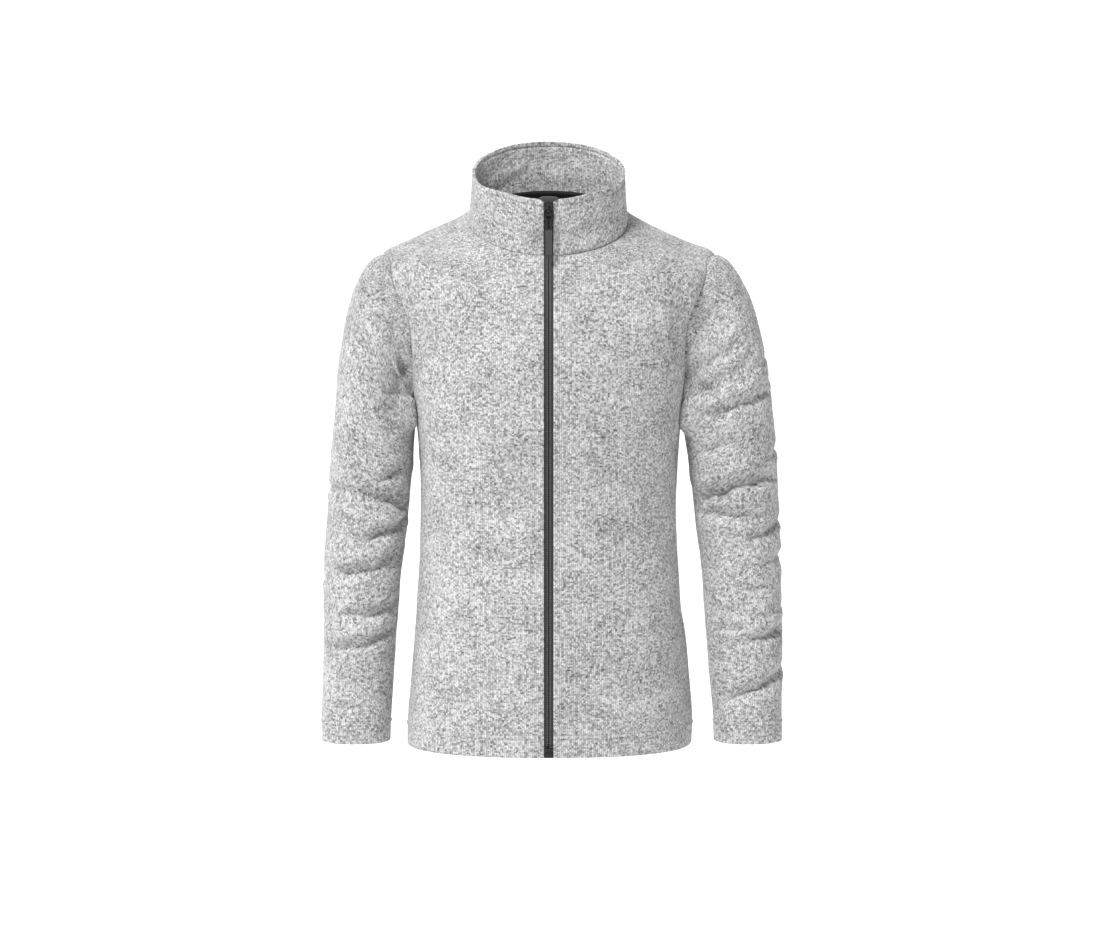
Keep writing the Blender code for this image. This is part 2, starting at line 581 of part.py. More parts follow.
def zip_run(tape_finish, coil_finish, collection):
    """The two tapes behind the fronts, and the coil behind the tapes."""
    above_box, depth = BOX_HEIGHT + 2 * SEAM_GAP, CLOTH + SEAM_GAP
    for name, side in (("left", 1), ("right", -1)):
        xs = (side * SEAM_GAP, side * TAPE_WIDTH)
        strip = [front_strip(xs, sunk, above_box, TAPE_TOP) for sunk in (depth, depth + TAPE)]
        solid(f"zip_tape_{name}", wall(*strip), tape_finish, collection)
    depth += TAPE + SEAM_GAP
    xs = (-COIL_WIDTH / 2, COIL_WIDTH / 2)
    strip = [front_strip(xs, sunk, above_box, COIL_TOP) for sunk in (depth, depth + COIL)]
    solid("zip_coil", wall(*strip), coil_finish, collection)


def on_front(place_from_edge):
    """Frame on the front middle of the collar: X left, Y up the cloth, Z out of it, in metres."""
    place = COLLAR.places[-1] - place_from_edge
    origin = COLLAR.point(0.0, place)
    out, left, up = COLLAR.directions(0.0, place)
    frame = Matrix.Identity(4)
    for column, axis in enumerate((left, up, out)):
        for row in range(3):
            frame[row][column] = axis[row]
    frame.translation = Vector(origin) * MM
    return frame


def block(name, low, high, frame, finish, collection, bevel=0.0):
    """A box between two corners in a frame, millimetres, with its edges rounded."""
    bm = bmesh.new()
    bmesh.ops.create_cube(bm, size=1.0)
    size = [(b - a) * MM for a, b in zip(low, high)]
    centre = [(a + b) / 2 * MM for a, b in zip(low, high)]
    bmesh.ops.scale(bm, vec=size, verts=bm.verts)
    bmesh.ops.translate(bm, vec=centre, verts=bm.verts)
    mesh = bpy.data.meshes.new(name)
    bm.to_mesh(mesh)
    bm.free()
    mesh.materials.append(finish)
    made = bpy.data.objects.new(name, mesh)
    collection.objects.link(made)
    made.matrix_world = frame
    if bevel:
        rounding = made.modifiers.new("rounded edges", "BEVEL")
        rounding.width, rounding.segments = bevel * MM, ROUNDING_SEGMENTS
    return made


def combine(target, other, operation):
    step = target.modifiers.new(operation.lower(), "BOOLEAN")
    step.operation, step.object = operation, other
    other.hide_render = True
    other.display_type = "WIRE"


def slider(frame, metal, collection, cutters):
    half_width, half_length = SLIDER_WIDTH / 2, SLIDER_LENGTH / 2
    low = (-half_width, -half_length, SLIDER_ABOVE)
    high = (half_width, half_length, SLIDER_ABOVE + SLIDER_PLATE)
    plate = block("zip_slider", low, high, frame, metal, collection, PLATE_ROUNDING)

    half_core = ZIP_HALF_OPENING - SEAM_GAP - ROUNDING
    low = (-half_core, ROUNDING - half_length, -SLIDER_CORE)
    high = (half_core, half_length - ROUNDING, SLIDER_ABOVE + ROUNDING)
    combine(plate, block("slider core", low, high, frame, metal, cutters), "UNION")

    low = (-BRIDGE_WIDTH / 2, -BRIDGE_LENGTH / 2, SLIDER_ABOVE + ROUNDING)
    high = (BRIDGE_WIDTH / 2, BRIDGE_LENGTH / 2, BRIDGE_TOP)
    combine(plate, block("slider bridge", low, high, frame, metal, cutters, ROUNDING), "UNION")

    low = (-BRIDGE_WIDTH, -EYE_LENGTH / 2, EYE_LOW)
    high = (BRIDGE_WIDTH, EYE_LENGTH / 2, EYE_TOP)
    combine(plate, block("slider eye", low, high, frame, metal, cutters), "DIFFERENCE")


def pull(frame, metal, grip, collection, cutters):
    """The pull hangs straight down from its hinge, which is the origin of both its pieces."""
    hinge = Matrix.Translation(frame @ Vector((0, PULL_ALONG * MM, PULL_ABOVE * MM)))
    half, thick = PULL_WIDTH / 2, PULL_THICK / 2
    low, high = (-half, -thick, -LINK_LENGTH), (half, thick, thick)
    link = block("pull_link", low, high, hinge, metal, collection, LINK_ROUNDING)
    low, high = (LINK_BAR - half, -PULL_THICK, -LINK_EYE_END), (half - LINK_BAR, PULL_THICK, -thick)
    combine(link, block("link eye", low, high, hinge, metal, cutters), "DIFFERENCE")
    low = (TAB_INSET - half, -thick, -PULL_LENGTH)
    high = (half - TAB_INSET, thick, -LINK_LENGTH - SEAM_GAP)
    block("pull_tab", low, high, hinge, grip, collection, ROUNDING)


def zip_box(metal, collection):
    foot = Matrix.Translation(Vector(BODY.point(0.0, 0.0)) * MM)
    low = (-BOX_WIDTH / 2, BOX_RECESS, SEAM_GAP)
    high = (BOX_WIDTH / 2, BOX_RECESS + BOX_DEPTH, BOX_HEIGHT)
    block("zip_box", low, high, foot, metal, collection, BOX_ROUNDING)


def chin_guard(finish, collection):
    """A tab of cloth inside the collar behind the top of the zip."""
    top = COLLAR.places[-1]
    places = np.array([top - GUARD_HEIGHT, top - GUARD_HEIGHT / 2, top, top + GUARD_ABOVE])
    across = np.linspace(-GUARD_HALF, GUARD_HALF, 5)
    angles = np.stack([COLLAR.angle_at(across, place) for place in places])
    depth = 2 * CLOTH + TAPE + 4 * SEAM_GAP
    sheets = [sheet_points(COLLAR, angles, places, sunk) for sunk in (depth, depth + GUARD)]
    solid("chin_guard", wall(*sheets), finish, collection)


def main():
    for old in list(bpy.data.objects):
        bpy.data.objects.remove(old, do_unlink=True)
    jacket = bpy.data.collections.new("fleece zip jacket")
    cutters = bpy.data.collections.new("cutters")
    for group in (jacket, cutters):
        bpy.context.scene.collection.children.link(group)
    fleece = material("knit fleece", (0.46, 0.46, 0.46), 0.95)
    lining = material("brushed tricot", (0.13, 0.13, 0.13), 0.9)
    tape = material("woven zip tape", (0.035, 0.035, 0.037), 0.8)
    coil = material("nylon coil", (0.02, 0.02, 0.022), 0.45)
    metal = material("black enamelled zinc", (0.012, 0.012, 0.013), 0.28, 0.6)
    grip = material("moulded rubber", (0.09, 0.09, 0.092), 0.6)
    body_panels(fleece, jacket)
    sleeves(fleece, jacket)
    collar(fleece, jacket)
    neck_tape(tape, jacket)
    chin_guard(lining, jacket)
    zip_run(tape, coil, jacket)
    at_slider = on_front(SLIDER_CENTRE)
    slider(at_slider, metal, jacket, cutters)
    pull(at_slider, metal, grip, jacket, cutters)
    zip_box(metal, jacket)


if __name__ == "__main__":
    main()
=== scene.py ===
import math

import bmesh
import bpy
import numpy as np
from mathutils import Matrix, Vector, noise


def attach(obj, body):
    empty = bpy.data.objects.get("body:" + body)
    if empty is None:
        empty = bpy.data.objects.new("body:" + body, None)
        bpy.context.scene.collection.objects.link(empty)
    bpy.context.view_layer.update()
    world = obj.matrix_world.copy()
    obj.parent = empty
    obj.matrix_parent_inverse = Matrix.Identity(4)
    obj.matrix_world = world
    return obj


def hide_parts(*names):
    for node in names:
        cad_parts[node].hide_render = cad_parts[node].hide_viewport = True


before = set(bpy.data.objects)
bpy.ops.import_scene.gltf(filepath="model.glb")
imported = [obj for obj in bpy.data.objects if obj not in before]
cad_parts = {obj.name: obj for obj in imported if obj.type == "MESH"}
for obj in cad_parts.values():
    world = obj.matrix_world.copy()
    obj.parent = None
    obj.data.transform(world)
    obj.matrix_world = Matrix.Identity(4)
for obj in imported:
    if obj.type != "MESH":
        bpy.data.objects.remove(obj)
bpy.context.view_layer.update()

# Fleece zip jacket: lengths are millimetres until a mesh is made. +X is the wearer's left, -Y the front.
mm = 0.001
print("frame loaded:", len(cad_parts), "nodes")


def fromHex(text):
    # sRGB hex to linear
    parts = [int(text[i:i + 2], 16) / 255 for i in (1, 3, 5)]
    return [c / 12.92 if c <= 0.04045 else ((c + 0.055) / 1.055) ** 2.4 for c in parts] + [1.0]


def setInputs(material, node, inputs):
    # an input takes a value, one of another node's outputs, or another node, for its first output
    for socket, value in inputs.items():
        if isinstance(value, bpy.types.Node):
            value = value.outputs[0]
        if isinstance(value, bpy.types.NodeSocket):
            material.node_tree.links.new(value, node.inputs[socket])
        else:
            node.inputs[socket].default_value = value


def addNode(material, kind, settings=None, inputs=None):
    # one node with its settings, its values and its links
    made = material.node_tree.nodes.new("ShaderNode" + kind)
    for name, value in (settings or {}).items():
        setattr(made, name, value)
    setInputs(material, made, inputs or {})
    return made


def newMaterial(name, values):
    # a material whose plain values are set on its shader's own sockets
    material = bpy.data.materials.new(name)
    material.use_nodes = True
    setInputs(material, material.node_tree.nodes["Principled BSDF"], values)
    return material


def setRamp(ramp, stops):
    elements = ramp.color_ramp.elements
    while len(elements) > 1:
        elements.remove(elements[-1])
    elements[0].position, elements[0].color = stops[0][0], fromHex(stops[0][1])
    for place, colour in stops[1:]:
        elements.new(place).color = fromHex(colour)


def finishSurface(material, shade, stops, height=None, strength=0.0, depth=0.0):
    # colours by the shade, and a relief of this depth in mm by the height
    tone = addNode(material, "ValToRGB", inputs={0: shade})
    setRamp(tone, stops)
    looks = {"Base Color": tone}
    if height is not None:
        looks["Normal"] = addNode(material, "Bump", inputs={
            "Strength": strength, "Distance": depth * mm, "Height": height})
    setInputs(material, material.node_tree.nodes["Principled BSDF"], looks)
    return material


# sweater-knit fleece: a jersey face of melange yarn, matt, with a faint nap
knit = {
    "wale": 2.6,           # real wales are about 1.6 apart, drawn coarser so that they show
    "course": 2.0,         # real courses are about 1.3 apart, drawn coarser too
    "slant": 0.55,         # how far the two legs of a stitch lean into a V
    "streak": 8.5,         # length of one shade along the yarn
    "dark": "#545456",
    "mid": "#b4b4b4",
    "light": "#ececeb",
    "fleck": 0.36,         # how dark the grey yarn's short flecks are beside the rest
    "relief": 0.5,
    "shares": (0.30, 0.24, 0.12),      # what single stitches, fibres and broad patches add to the shade
}


def sweaterKnitFleece():
    # wool-like mix of pale and grey fibres: short sideways flecks between upright rows of stitches
    material = newMaterial("sweaterKnitFleece", {
        "Roughness": 0.92, "Sheen Weight": 0.25, "Sheen Roughness": 0.45, "Specular IOR Level": 0.25})
    cloth = addNode(material, "UVMap", {"uv_map": "cloth"})
    split = addNode(material, "SeparateXYZ", inputs={0: cloth})
    part = {"x": split.outputs[0], "y": split.outputs[1]}
    for name, operation, *values in (    # the arithmetic of a stitch, step by step
        ("wales", "DIVIDE", "x", knit["wale"] * mm),
        ("wale", "FLOOR", "wales"),
        ("across", "FRACT", "wales"),
        ("centred", "SUBTRACT", "across", 0.5),
        ("fromMiddle", "ABSOLUTE", "centred"),
        ("lean", "MULTIPLY", "fromMiddle", 2 * knit["slant"]),
        ("courses", "DIVIDE", "y", knit["course"] * mm),
        ("leaning", "SUBTRACT", "courses", "lean"),
        ("course", "FLOOR", "leaning"),
        ("up", "FRACT", "leaning"),
        ("leg", "PINGPONG", "wales", 0.25),
        ("legHeight", "MULTIPLY", "leg", 4.0),
        ("roundUp", "PINGPONG", "up", 0.5),
        ("stitch", "MULTIPLY", "roundUp", 2.0),
        ("relief", "ADD", "legHeight", "stitch"),
        ("alongYarn", "DIVIDE", "x", knit["streak"] * mm),
        ("courseShift", "MULTIPLY", "course", 7.31),      # so that each course starts anew
    ):
        part[name] = addNode(material, "Math", {"operation": operation}, {
            i: part.get(value, value) for i, value in enumerate(values)})

    # shade of the yarn, which changes along a course
    yarnPlace = addNode(material, "CombineXYZ", inputs={0: part["alongYarn"], 1: part["courseShift"]})
    yarn = addNode(material, "TexNoise", {"noise_dimensions": "2D"}, {
        "Vector": yarnPlace, "Scale": 1.0, "Detail": 2.0, "Roughness": 0.7})
    cell = addNode(material, "CombineXYZ", inputs={0: part["wale"], 1: part["course"]})
    single = addNode(material, "TexWhiteNoise", {"noise_dimensions": "2D"}, {"Vector": cell})
    fibres = addNode(material, "TexNoise", {"noise_dimensions": "2D"}, {
        "Vector": cloth, "Scale": 620.0, "Detail": 3.0, "Roughness": 0.75})      # tufts about 1.6 long
    patches = addNode(material, "TexNoise", {"noise_dimensions": "2D"}, {
        "Vector": cloth, "Scale": 22.0, "Detail": 2.0})                          # about 45 wide
    shade = yarn
    for other, share in zip((single, fibres, patches), knit["shares"]):
        shade = addNode(material, "Mix", inputs={0: share, 2: shade, 3: other})
    melange = addNode(material, "ValToRGB", inputs={0: shade})
    setRamp(melange, ((0.30, knit["dark"]), (0.47, knit["mid"]), (0.66, knit["light"])))

    # painted shade in the gaps between stitches and in the hollows between wales, where shade falls, times
    # the yarn's own grey flecks
    # painted shade: dim where the stitches' relief is low, in the gaps between them
    gap = addNode(material, "MapRange", inputs={0: part["relief"], 1: 0.15, 2: 0.8, 3: 0.7, 4: 1.0})
    flecks = addNode(material, "MapRange", inputs={0: yarn, 1: 0.55, 2: 0.66, 3: 1.0, 4: knit["fleck"]})
    # painted shade along the hollows at the edges of each wale
    paintedDitchShade = addNode(material, "MapRange", inputs={0: part["fromMiddle"], 1: 0.30, 2: 0.46, 3: 1.0, 4: 0.66})
    paintedShadeAndFlecks = addNode(material, "Math", {"operation": "MULTIPLY"}, {0: gap, 1: flecks})
    paintedShadeAndFlecks = addNode(material, "Math", {"operation": "MULTIPLY"}, {0: paintedShadeAndFlecks, 1: paintedDitchShade})
    shaded = addNode(material, "Mix", {"data_type": "RGBA", "blend_type": "MULTIPLY"}, {
        0: 1.0, 6: melange, 7: paintedShadeAndFlecks})
    fuzz = addNode(material, "Math", {"operation": "MULTIPLY_ADD"}, {0: fibres, 1: 0.9, 2: part["relief"]})
    bump = addNode(material, "Bump", inputs={
        "Strength": 0.55, "Distance": knit["relief"] * mm, "Height": fuzz})
    setInputs(material, material.node_tree.nodes["Principled BSDF"], {
        "Base Color": shaded.outputs[2], "Normal": bump})
    return material


def brushedFleeceBack():
    # the inside of the same cloth, brushed to a short dense pile: soft tufts and no stitches
    material = newMaterial("brushedFleeceBack", {
        "Roughness": 0.97, "Sheen Weight": 0.45, "Sheen Roughness": 0.5, "Specular IOR Level": 0.2})
    place = addNode(material, "TexCoord").outputs["Object"]
    tufts = addNode(material, "TexVoronoi", inputs={"Vector": place, "Scale": 330.0})      # 3 across
    pile = addNode(material, "TexNoise", inputs={
        "Vector": place, "Scale": 900.0, "Detail": 3.0, "Roughness": 0.7})      # about 1.1 across
    height = addNode(material, "Math", {"operation": "SUBTRACT"}, {0: pile, 1: tufts})
    stops = (0.3, "#9d9d9e"), (0.5, "#c4c4c4"), (0.7, "#dededd")
    return finishSurface(material, pile, stops, height, 0.6, 0.8)


def twillTape():
    # woven cotton tape, dyed charcoal: slanting twill lines and a dry surface
    material = newMaterial("twillTape", {"Roughness": 0.85, "Specular IOR Level": 0.3})
    cloth = addNode(material, "UVMap", {"uv_map": "cloth"})
    turned = addNode(material, "Mapping", inputs={"Vector": cloth, "Rotation": (0, 0, 0.9)})
    twill = addNode(material, "TexWave", inputs={
        "Vector": turned, "Scale": 220.0, "Distortion": 0.6, "Detail": 1.0})      # lines 1.4 apart
    twill = twill.outputs["Fac"]
    return finishSurface(material, twill, ((0.1, "#232325"), (0.9, "#3c3c3e")), twill, 0.6, 0.25)


def brushedTricot():
    # fine warp-knit with a raised face: even mid grey, soft and slightly streaked upright
    material = newMaterial("brushedTricot", {
        "Roughness": 0.9, "Sheen Weight": 0.4, "Sheen Roughness": 0.4, "Specular IOR Level": 0.25})
    cloth = addNode(material, "UVMap", {"uv_map": "cloth"})
    stretched = addNode(material, "Mapping", inputs={"Vector": cloth, "Scale": (1.0, 0.25, 1.0)})
    nap = addNode(material, "TexNoise", inputs={
        "Vector": stretched, "Scale": 1200.0, "Detail": 2.0, "Roughness": 0.6})      # 0.8 by 3.3
    return finishSurface(material, nap, ((0.3, "#434345"), (0.7, "#606062")), nap, 0.4, 0.2)


def wovenZipTape():
    # woven polyester tape: fine upright cords with small weft bars between them, charcoal, faintly shiny
    material = newMaterial("wovenZipTape", {"Roughness": 0.62, "Specular IOR Level": 0.4})
    cloth = addNode(material, "UVMap", {"uv_map": "cloth"})
    cords = addNode(material, "TexWave", {"bands_direction": "X"}, {
        "Vector": cloth, "Scale": 286.0, "Distortion": 0.0})       # cords 1.1 apart
    bars = addNode(material, "TexWave", {"bands_direction": "Y"}, {
        "Vector": cloth, "Scale": 242.0, "Distortion": 0.4})       # weft 1.3 apart
    weave = addNode(material, "Mix", inputs={0: 0.35, 2: cords.outputs["Fac"], 3: bars.outputs["Fac"]})
    stops = (0.1, "#151516"), (0.6, "#2a2a2c"), (1.0, "#4a4a4c")
    return finishSurface(material, weave, stops, weave, 0.7, 0.2)


def nylonCoil():
    # drawn nylon wire, dyed charcoal: smooth and half glossy
    material = newMaterial("nylonCoil", {"Roughness": 0.38, "IOR": 1.53})
    place = addNode(material, "TexCoord").outputs["Object"]
    drawn = addNode(material, "TexNoise", inputs={"Vector": place, "Scale": 700.0, "Detail": 2.0})    # 1.4
    return finishSurface(material, drawn, ((0.3, "#262628"), (0.7, "#38383a")))


def enamelledZinc():
    # die-cast zinc under black enamel: deep gloss, slight ripple of the coat, greyer where fingers rub
    material = newMaterial("enamelledZinc", {
        "Roughness": 0.2, "Specular IOR Level": 0.3, "Coat Weight": 0.15, "Coat Roughness": 0.05})
    place = addNode(material, "TexCoord").outputs["Object"]
    ripple = addNode(material, "TexNoise", inputs={"Vector": place, "Scale": 420.0, "Detail": 1.0})
    rubbed = addNode(material, "TexNoise", inputs={
        "Vector": place, "Scale": 1500.0, "Detail": 4.0, "Roughness": 0.7})
    return finishSurface(material, rubbed, ((0.45, "#070708"), (0.75, "#1b1b1d")), ripple, 0.15, 0.1)


def mouldedRubber():
    # soft rubber from a spark-eroded mould: matt dark grey with a fine grain
    material = newMaterial("mouldedRubber", {"Roughness": 0.68, "Specular IOR Level": 0.35})
    place = addNode(material, "TexCoord").outputs["Object"]
    grain = addNode(material, "TexNoise", inputs={"Vector": place, "Scale": 1600.0, "Detail": 2.0})    # 0.6
    return finishSurface(material, grain, ((0.3, "#343436"), (0.7, "#464648")), grain, 0.3, 0.08)


def spunThread(name, dark, light):
    # spun polyester sewing thread: twisted, a little brighter than what it holds
    material = newMaterial(name, {"Roughness": 0.7, "Sheen Weight": 0.2})
    place = addNode(material, "TexCoord").outputs["Object"]
    twist = addNode(material, "TexNoise", inputs={"Vector": place, "Scale": 1300.0, "Detail": 1.0})    # 0.8
    return finishSurface(material, twist, ((0.35, dark), (0.65, light)), twist, 0.4, 0.1)


fleece, fleeceBack = sweaterKnitFleece(), brushedFleeceBack()
thread = spunThread("spunThread", "#c4c4c3", "#efefee")
coilThread = spunThread("coilThread", "#6c6c6e", "#a2a2a3")
tapeCloth, tricot, zipTape = twillTape(), brushedTricot(), wovenZipTape()
coilNylon, enamel, rubber = nylonCoil(), enamelledZinc(), mouldedRubber()
print("materials made")


def smoothRows(knots, values, at):
    # values of a table's columns at the places in at, on a smooth curve through its rows
    knots, values, at = (np.asarray(a, float) for a in (knots, values, at))
    steps = np.diff(knots)
    slopes = np.diff(values, axis=0) / steps[:, None]
    before, after = steps[:-1, None], steps[1:, None]
    bends = (slopes[:-1] * after + slopes[1:] * before) / (before + after)
    tangents = np.concatenate([slopes[:1], bends, slopes[-1:]])
    i = np.clip(np.searchsorted(knots, at, side="right") - 1, 0, len(steps) - 1)
    h = steps[i][..., None]
    t = (at - knots[i])[..., None] / h
    rising = values[i] * (1 + 2 * t) * (1 - t) ** 2 + tangents[i] * h * t * (1 - t) ** 2
    return rising + values[i + 1] * t * t * (3 - 2 * t) + tangents[i + 1] * h * t * t * (t - 1)


def unitOf(vectors):
    return vectors / np.linalg.norm(vectors, axis=-1, keepdims=True)


def bell(distance, width):
    # 1 at no distance, and less and less on both sides
    return np.exp(-((distance / width) ** 2))


def runOf(points, axis=0):
    # length along a line of points, from 0, or along every row of a grid
    steps = np.linalg.norm(np.diff(points, axis=axis), axis=-1)
    return np.concatenate([np.zeros_like(np.take(steps, [0], axis)), np.cumsum(steps, axis=axis)], axis)


def superEllipse(angle, squareness):
    # sine and cosine of an angle in degrees, on a super-ellipse of radius 1
    sine, cosine = np.sin(np.radians(angle)), np.cos(np.radians(angle))
    size = (np.abs(sine) ** squareness + np.abs(cosine) ** squareness) ** (-1 / squareness)
    return sine * size, cosine * size


def troughProfile(across):
    # a soft trough with low rolls beside it
    return np.exp(-(across**2)) - 0.42 * np.exp(-((np.abs(across) - 2.0) ** 2) / 1.1)


def pinchProfile(across):
    # a pinched fold: a long flank hangs above its line, and a short steep lip with a small roll lies below
    above, below = np.maximum(across, 0), np.maximum(-across, 0)
    flank = np.exp(-((1.3 * above) ** 1.25)) - 0.18 * np.exp(-((above - 1.7) ** 2) / 0.3)
    lip = np.exp(-((below / 0.24) ** 1.5)) - 0.34 * np.exp(-((below - 0.7) ** 2) / 0.12)
    return np.where(across > 0, flank, lip)


def fromLine(line, mmPerDegree, angle, height):
    # a line runs through three places, an angle and a height each: how far a point is to the right
    # of it and above it, signed distance (the upper side positive) and strength, which ends with the line
    fromAngle, fromZ, byAngle, byZ, toAngle, toZ = line[:6]
    along = np.linspace(0, 1, 9)
    weights = (1 - along) * (1 - 2 * along), 4 * along * (1 - along), along * (2 * along - 1)
    lineX = sum(weight * place for weight, place in zip(weights, (fromAngle, byAngle, toAngle))) * mmPerDegree
    lineZ = sum(weight * place for weight, place in zip(weights, (fromZ, byZ, toZ)))
    x = (byAngle + (angle - byAngle + 180) % 360 - 180) * mmPerDegree
    height = height + 1.5 * np.sin(x / 7.3 + 1.3 * np.sin(height / 23)) + 0.9 * np.sin(x / 3.7 + height / 17)
    best = [np.full(np.broadcast(angle, height).shape, 1e9)] + [0.0] * 4
    for k in range(len(along) - 1):
        ax, az = lineX[k], lineZ[k]
        bx, bz = lineX[k + 1] - ax, lineZ[k + 1] - az
        t = np.clip(((x - ax) * bx + (height - az) * bz) / (bx * bx + bz * bz), 0, 1)
        right, over = x - ax - t * bx, height - az - t * bz
        found = np.hypot(right, over), right, over, bx * over - bz * right, (k + t) / (len(along) - 1)
        closer = found[0] < best[0]
        best = [np.where(closer, new, old) for new, old in zip(found, best)]
    distance, right, over, side, where = best
    return right, over, np.copysign(distance, side), 1 - (2 * where - 1) ** 4


def lineDepth(lines, profile, mmPerDegree, angle, height):
    # how far the cloth lies in, from every line; a line's last two numbers are its depth and width
    total = np.zeros(np.broadcast(angle, height).shape)
    for line in lines:
        signed, strength = fromLine(line, mmPerDegree, angle, height)[2:]
        total += line[6] * profile(signed / line[7]) * strength
    return total


turnStep, placeStep = 0.2, 0.5
shoulderSinks = (    # middle x and z, reach each way, depth
    (182, -38, 28, 30, 6.0),        # the shoulders hang a little, the left one more
    (120, -12, 45, 40, 4.5),
    (212, -54, 16, 9, -3.0),        # raised where the sleeve is set in
    (-188, -38, 24, 30, 4.0),
    (-115, -12, 28, 40, 3.0),
    (-212, -54, 16, 9, -3.0),
)


class Loft:
    # cloth through a table of loops: a point on it has an angle round it and a place up it
    def __init__(self, loops, creases, mmPerDegree):
        self.rows = np.array(loops, float)
        rise = np.diff((self.rows[:, 0] + self.rows[:, 2]) / 2)
        draw = np.diff((self.rows[:, 4] + self.rows[:, 5]) / 2)
        self.places = np.concatenate([[0], np.cumsum(np.hypot(rise, draw))])
        self.creases, self.mmPerDegree = creases, mmPerDegree

    def point(self, angle, place):
        angle, place = np.broadcast_arrays(angle, place)
        row = np.moveaxis(smoothRows(self.places, self.rows, place), -1, 0)
        frontZ, sideZ, backZ, halfWidth, front, back, squareness = row
        across, along = superEllipse(angle, squareness)
        depth = np.where(along > 0, front, back)
        tilt, sag = (frontZ - backZ) / 2, (frontZ + backZ) / 2 - sideZ
        height = sideZ + tilt * along + sag * along**2
        inward = lineDepth(self.creases, troughProfile, self.mmPerDegree, angle, height)
        x = halfWidth * across - inward * np.sin(np.radians(angle))
        y = -depth * along + inward * np.cos(np.radians(angle))
        for middleX, middleZ, reachX, reachZ, sink in shoulderSinks:
            height = height - sink * bell(x - middleX, reachX) * bell(height - middleZ, reachZ)
        return np.stack([x, y, height], -1)

    def directions(self, angle, place):
        # unit vectors out of the cloth, round it and up it
        around = unitOf(self.point(angle + turnStep, place) - self.point(angle - turnStep, place))
        middle = np.clip(place, self.places[0] + placeStep, self.places[-1] - placeStep)
        up = unitOf(self.point(angle, middle + placeStep) - self.point(angle, middle - placeStep))
        return unitOf(np.cross(around, up)), around, up

    def angleAt(self, x, place):
        # angle at which the loop is x to the wearer's left of the middle, on the front
        row = smoothRows(self.places, self.rows, place)
        across = x / row[..., 3]
        along = (1 - np.abs(across) ** row[..., 6]) ** (1 / row[..., 6])
        return np.degrees(np.arctan2(across, along))


cloth = {
    "thick": 2.2, "turned": 3.6,
    "seamGap": 0.3, "slit": 0.14,      # between layers, and between two sewn edges
    "hemTurn": 27.0, "zipHalfOpening": 6.1,
    "step": 3.0,               # spacing of the mesh on the large panels
    "sleeveStep": 2.0,         # and on the sleeves, where the sharp folds are
    "seamRound": 0.3,          # how a cut edge rolls into its seam
    "seamPull": 0.25, "seamPullWidth": 3.0,     # the thread draws the cloth down beside a seam
    "stitchPull": 0.7, "stitchPullWidth": 1.1,  # and along a row of top stitching
    "lumps": ((70.0, 1.0), (30.0, 0.5), (13.0, 0.26)),    # size and height of the cloth's unevenness
    "calmWidth": 12.0, "calmShare": 0.15,       # beside a seam it is calmer
    "mitre": 3.0,              # how far from a seam the walls of two cloths turn to meet
}

body = {
    "loops": (    # front z, side z, back z, half width, front, back, squareness
        (-690, -690, -690, 186.0, 121, 119, 2.35),    # hem edge
        (-664, -664, -664, 185.5, 122, 120, 2.35),    # hem fold
        (-600, -600, -600, 180.0, 124, 122, 2.35),    # hip
        (-500, -500, -500, 172.5, 122, 114, 2.35),    # high hip
        (-370, -370, -370, 166.5, 118, 103, 2.35),    # waist
        (-300, -300, -296, 169.5, 124, 107, 2.35),    # under bust
        (-226, -238, -222, 176.0, 128, 115, 2.40),    # underarm
        (-150, -142, -140, 188.0, 119, 117, 2.30),    # mid armhole
        (-92, -45, -42, 211.0, 100, 107, 2.05),       # shoulder tip
        (-65, -26, 2, 157.0, 86, 82, 2.00),           # yoke
        (-44, -1, 30, 104.0, 74, 53, 2.00),           # neck seam
    ),
    "creases": (    # from angle and z, by angle and z, to angle and z, depth, width
        (42, -357, 53, -388, 66, -421, 4.0, 13),          # waist left
        (-72, -541, -58, -542, -44, -548, 3.0, 13),       # hip right
        (47, -80, 51, -106, 60, -132, 3.0, 9),            # chest left
        (52, -88, 58, -118, 66, -146, 1.6, 4),
        (-52, -120, -58, -152, -68, -190, 3.0, 10),       # chest right
        (118, -350, 142, -370, 168, -378, 4.5, 14),       # small of back left
        (244, -343, 218, -366, 194, -380, 4.5, 14),       # small of back right
        (232, -452, 206, -462, 180, -458, 3.0, 14),       # back hip
        (-92, -521, -54, -500, -41, -485, 1.2, 9),        # fine ones from here on
        (-30, -590, -21, -584, -11, -584, 1.0, 8),
        (57, -437, 48, -449, 42, -461, -1.2, 9),
        (24, -96, 31, -128, 34, -170, 1.0, 9),
        (-30, -88, -36, -118, -40, -150, 1.0, 8),
        (60, -262, 72, -300, 84, -330, 1.6, 9),
        (-62, -268, -74, -306, -86, -332, 1.4, 9),
        (14, -620, 30, -612, 46, -618, 1.0, 10),
        (128, -560, 150, -548, 172, -556, 1.4, 11),
        (140, -180, 158, -196, 176, -192, 1.6, 12),
        (222, -176, 204, -192, 188, -200, 1.5, 12),
        (86, -520, 92, -600, 94, -700, -4.5, 34),         # the left side flares to the hem
    ),
    "mmPerDegree": 2.6,
    "underarm": 6, "tip": 8,                # rows of the table where the armhole starts and ends
    "sideSeam": 92.0, "armholeTop": 77.0, "shoulderAtNeck": 84.0,
    "armholeFront": 17.0, "armholeBack": 26.0,
    "armholePull": 4.0, "armholePullWidth": 0.9,
    "neckPull": 1.8, "neckPullWidth": 1.7,
}

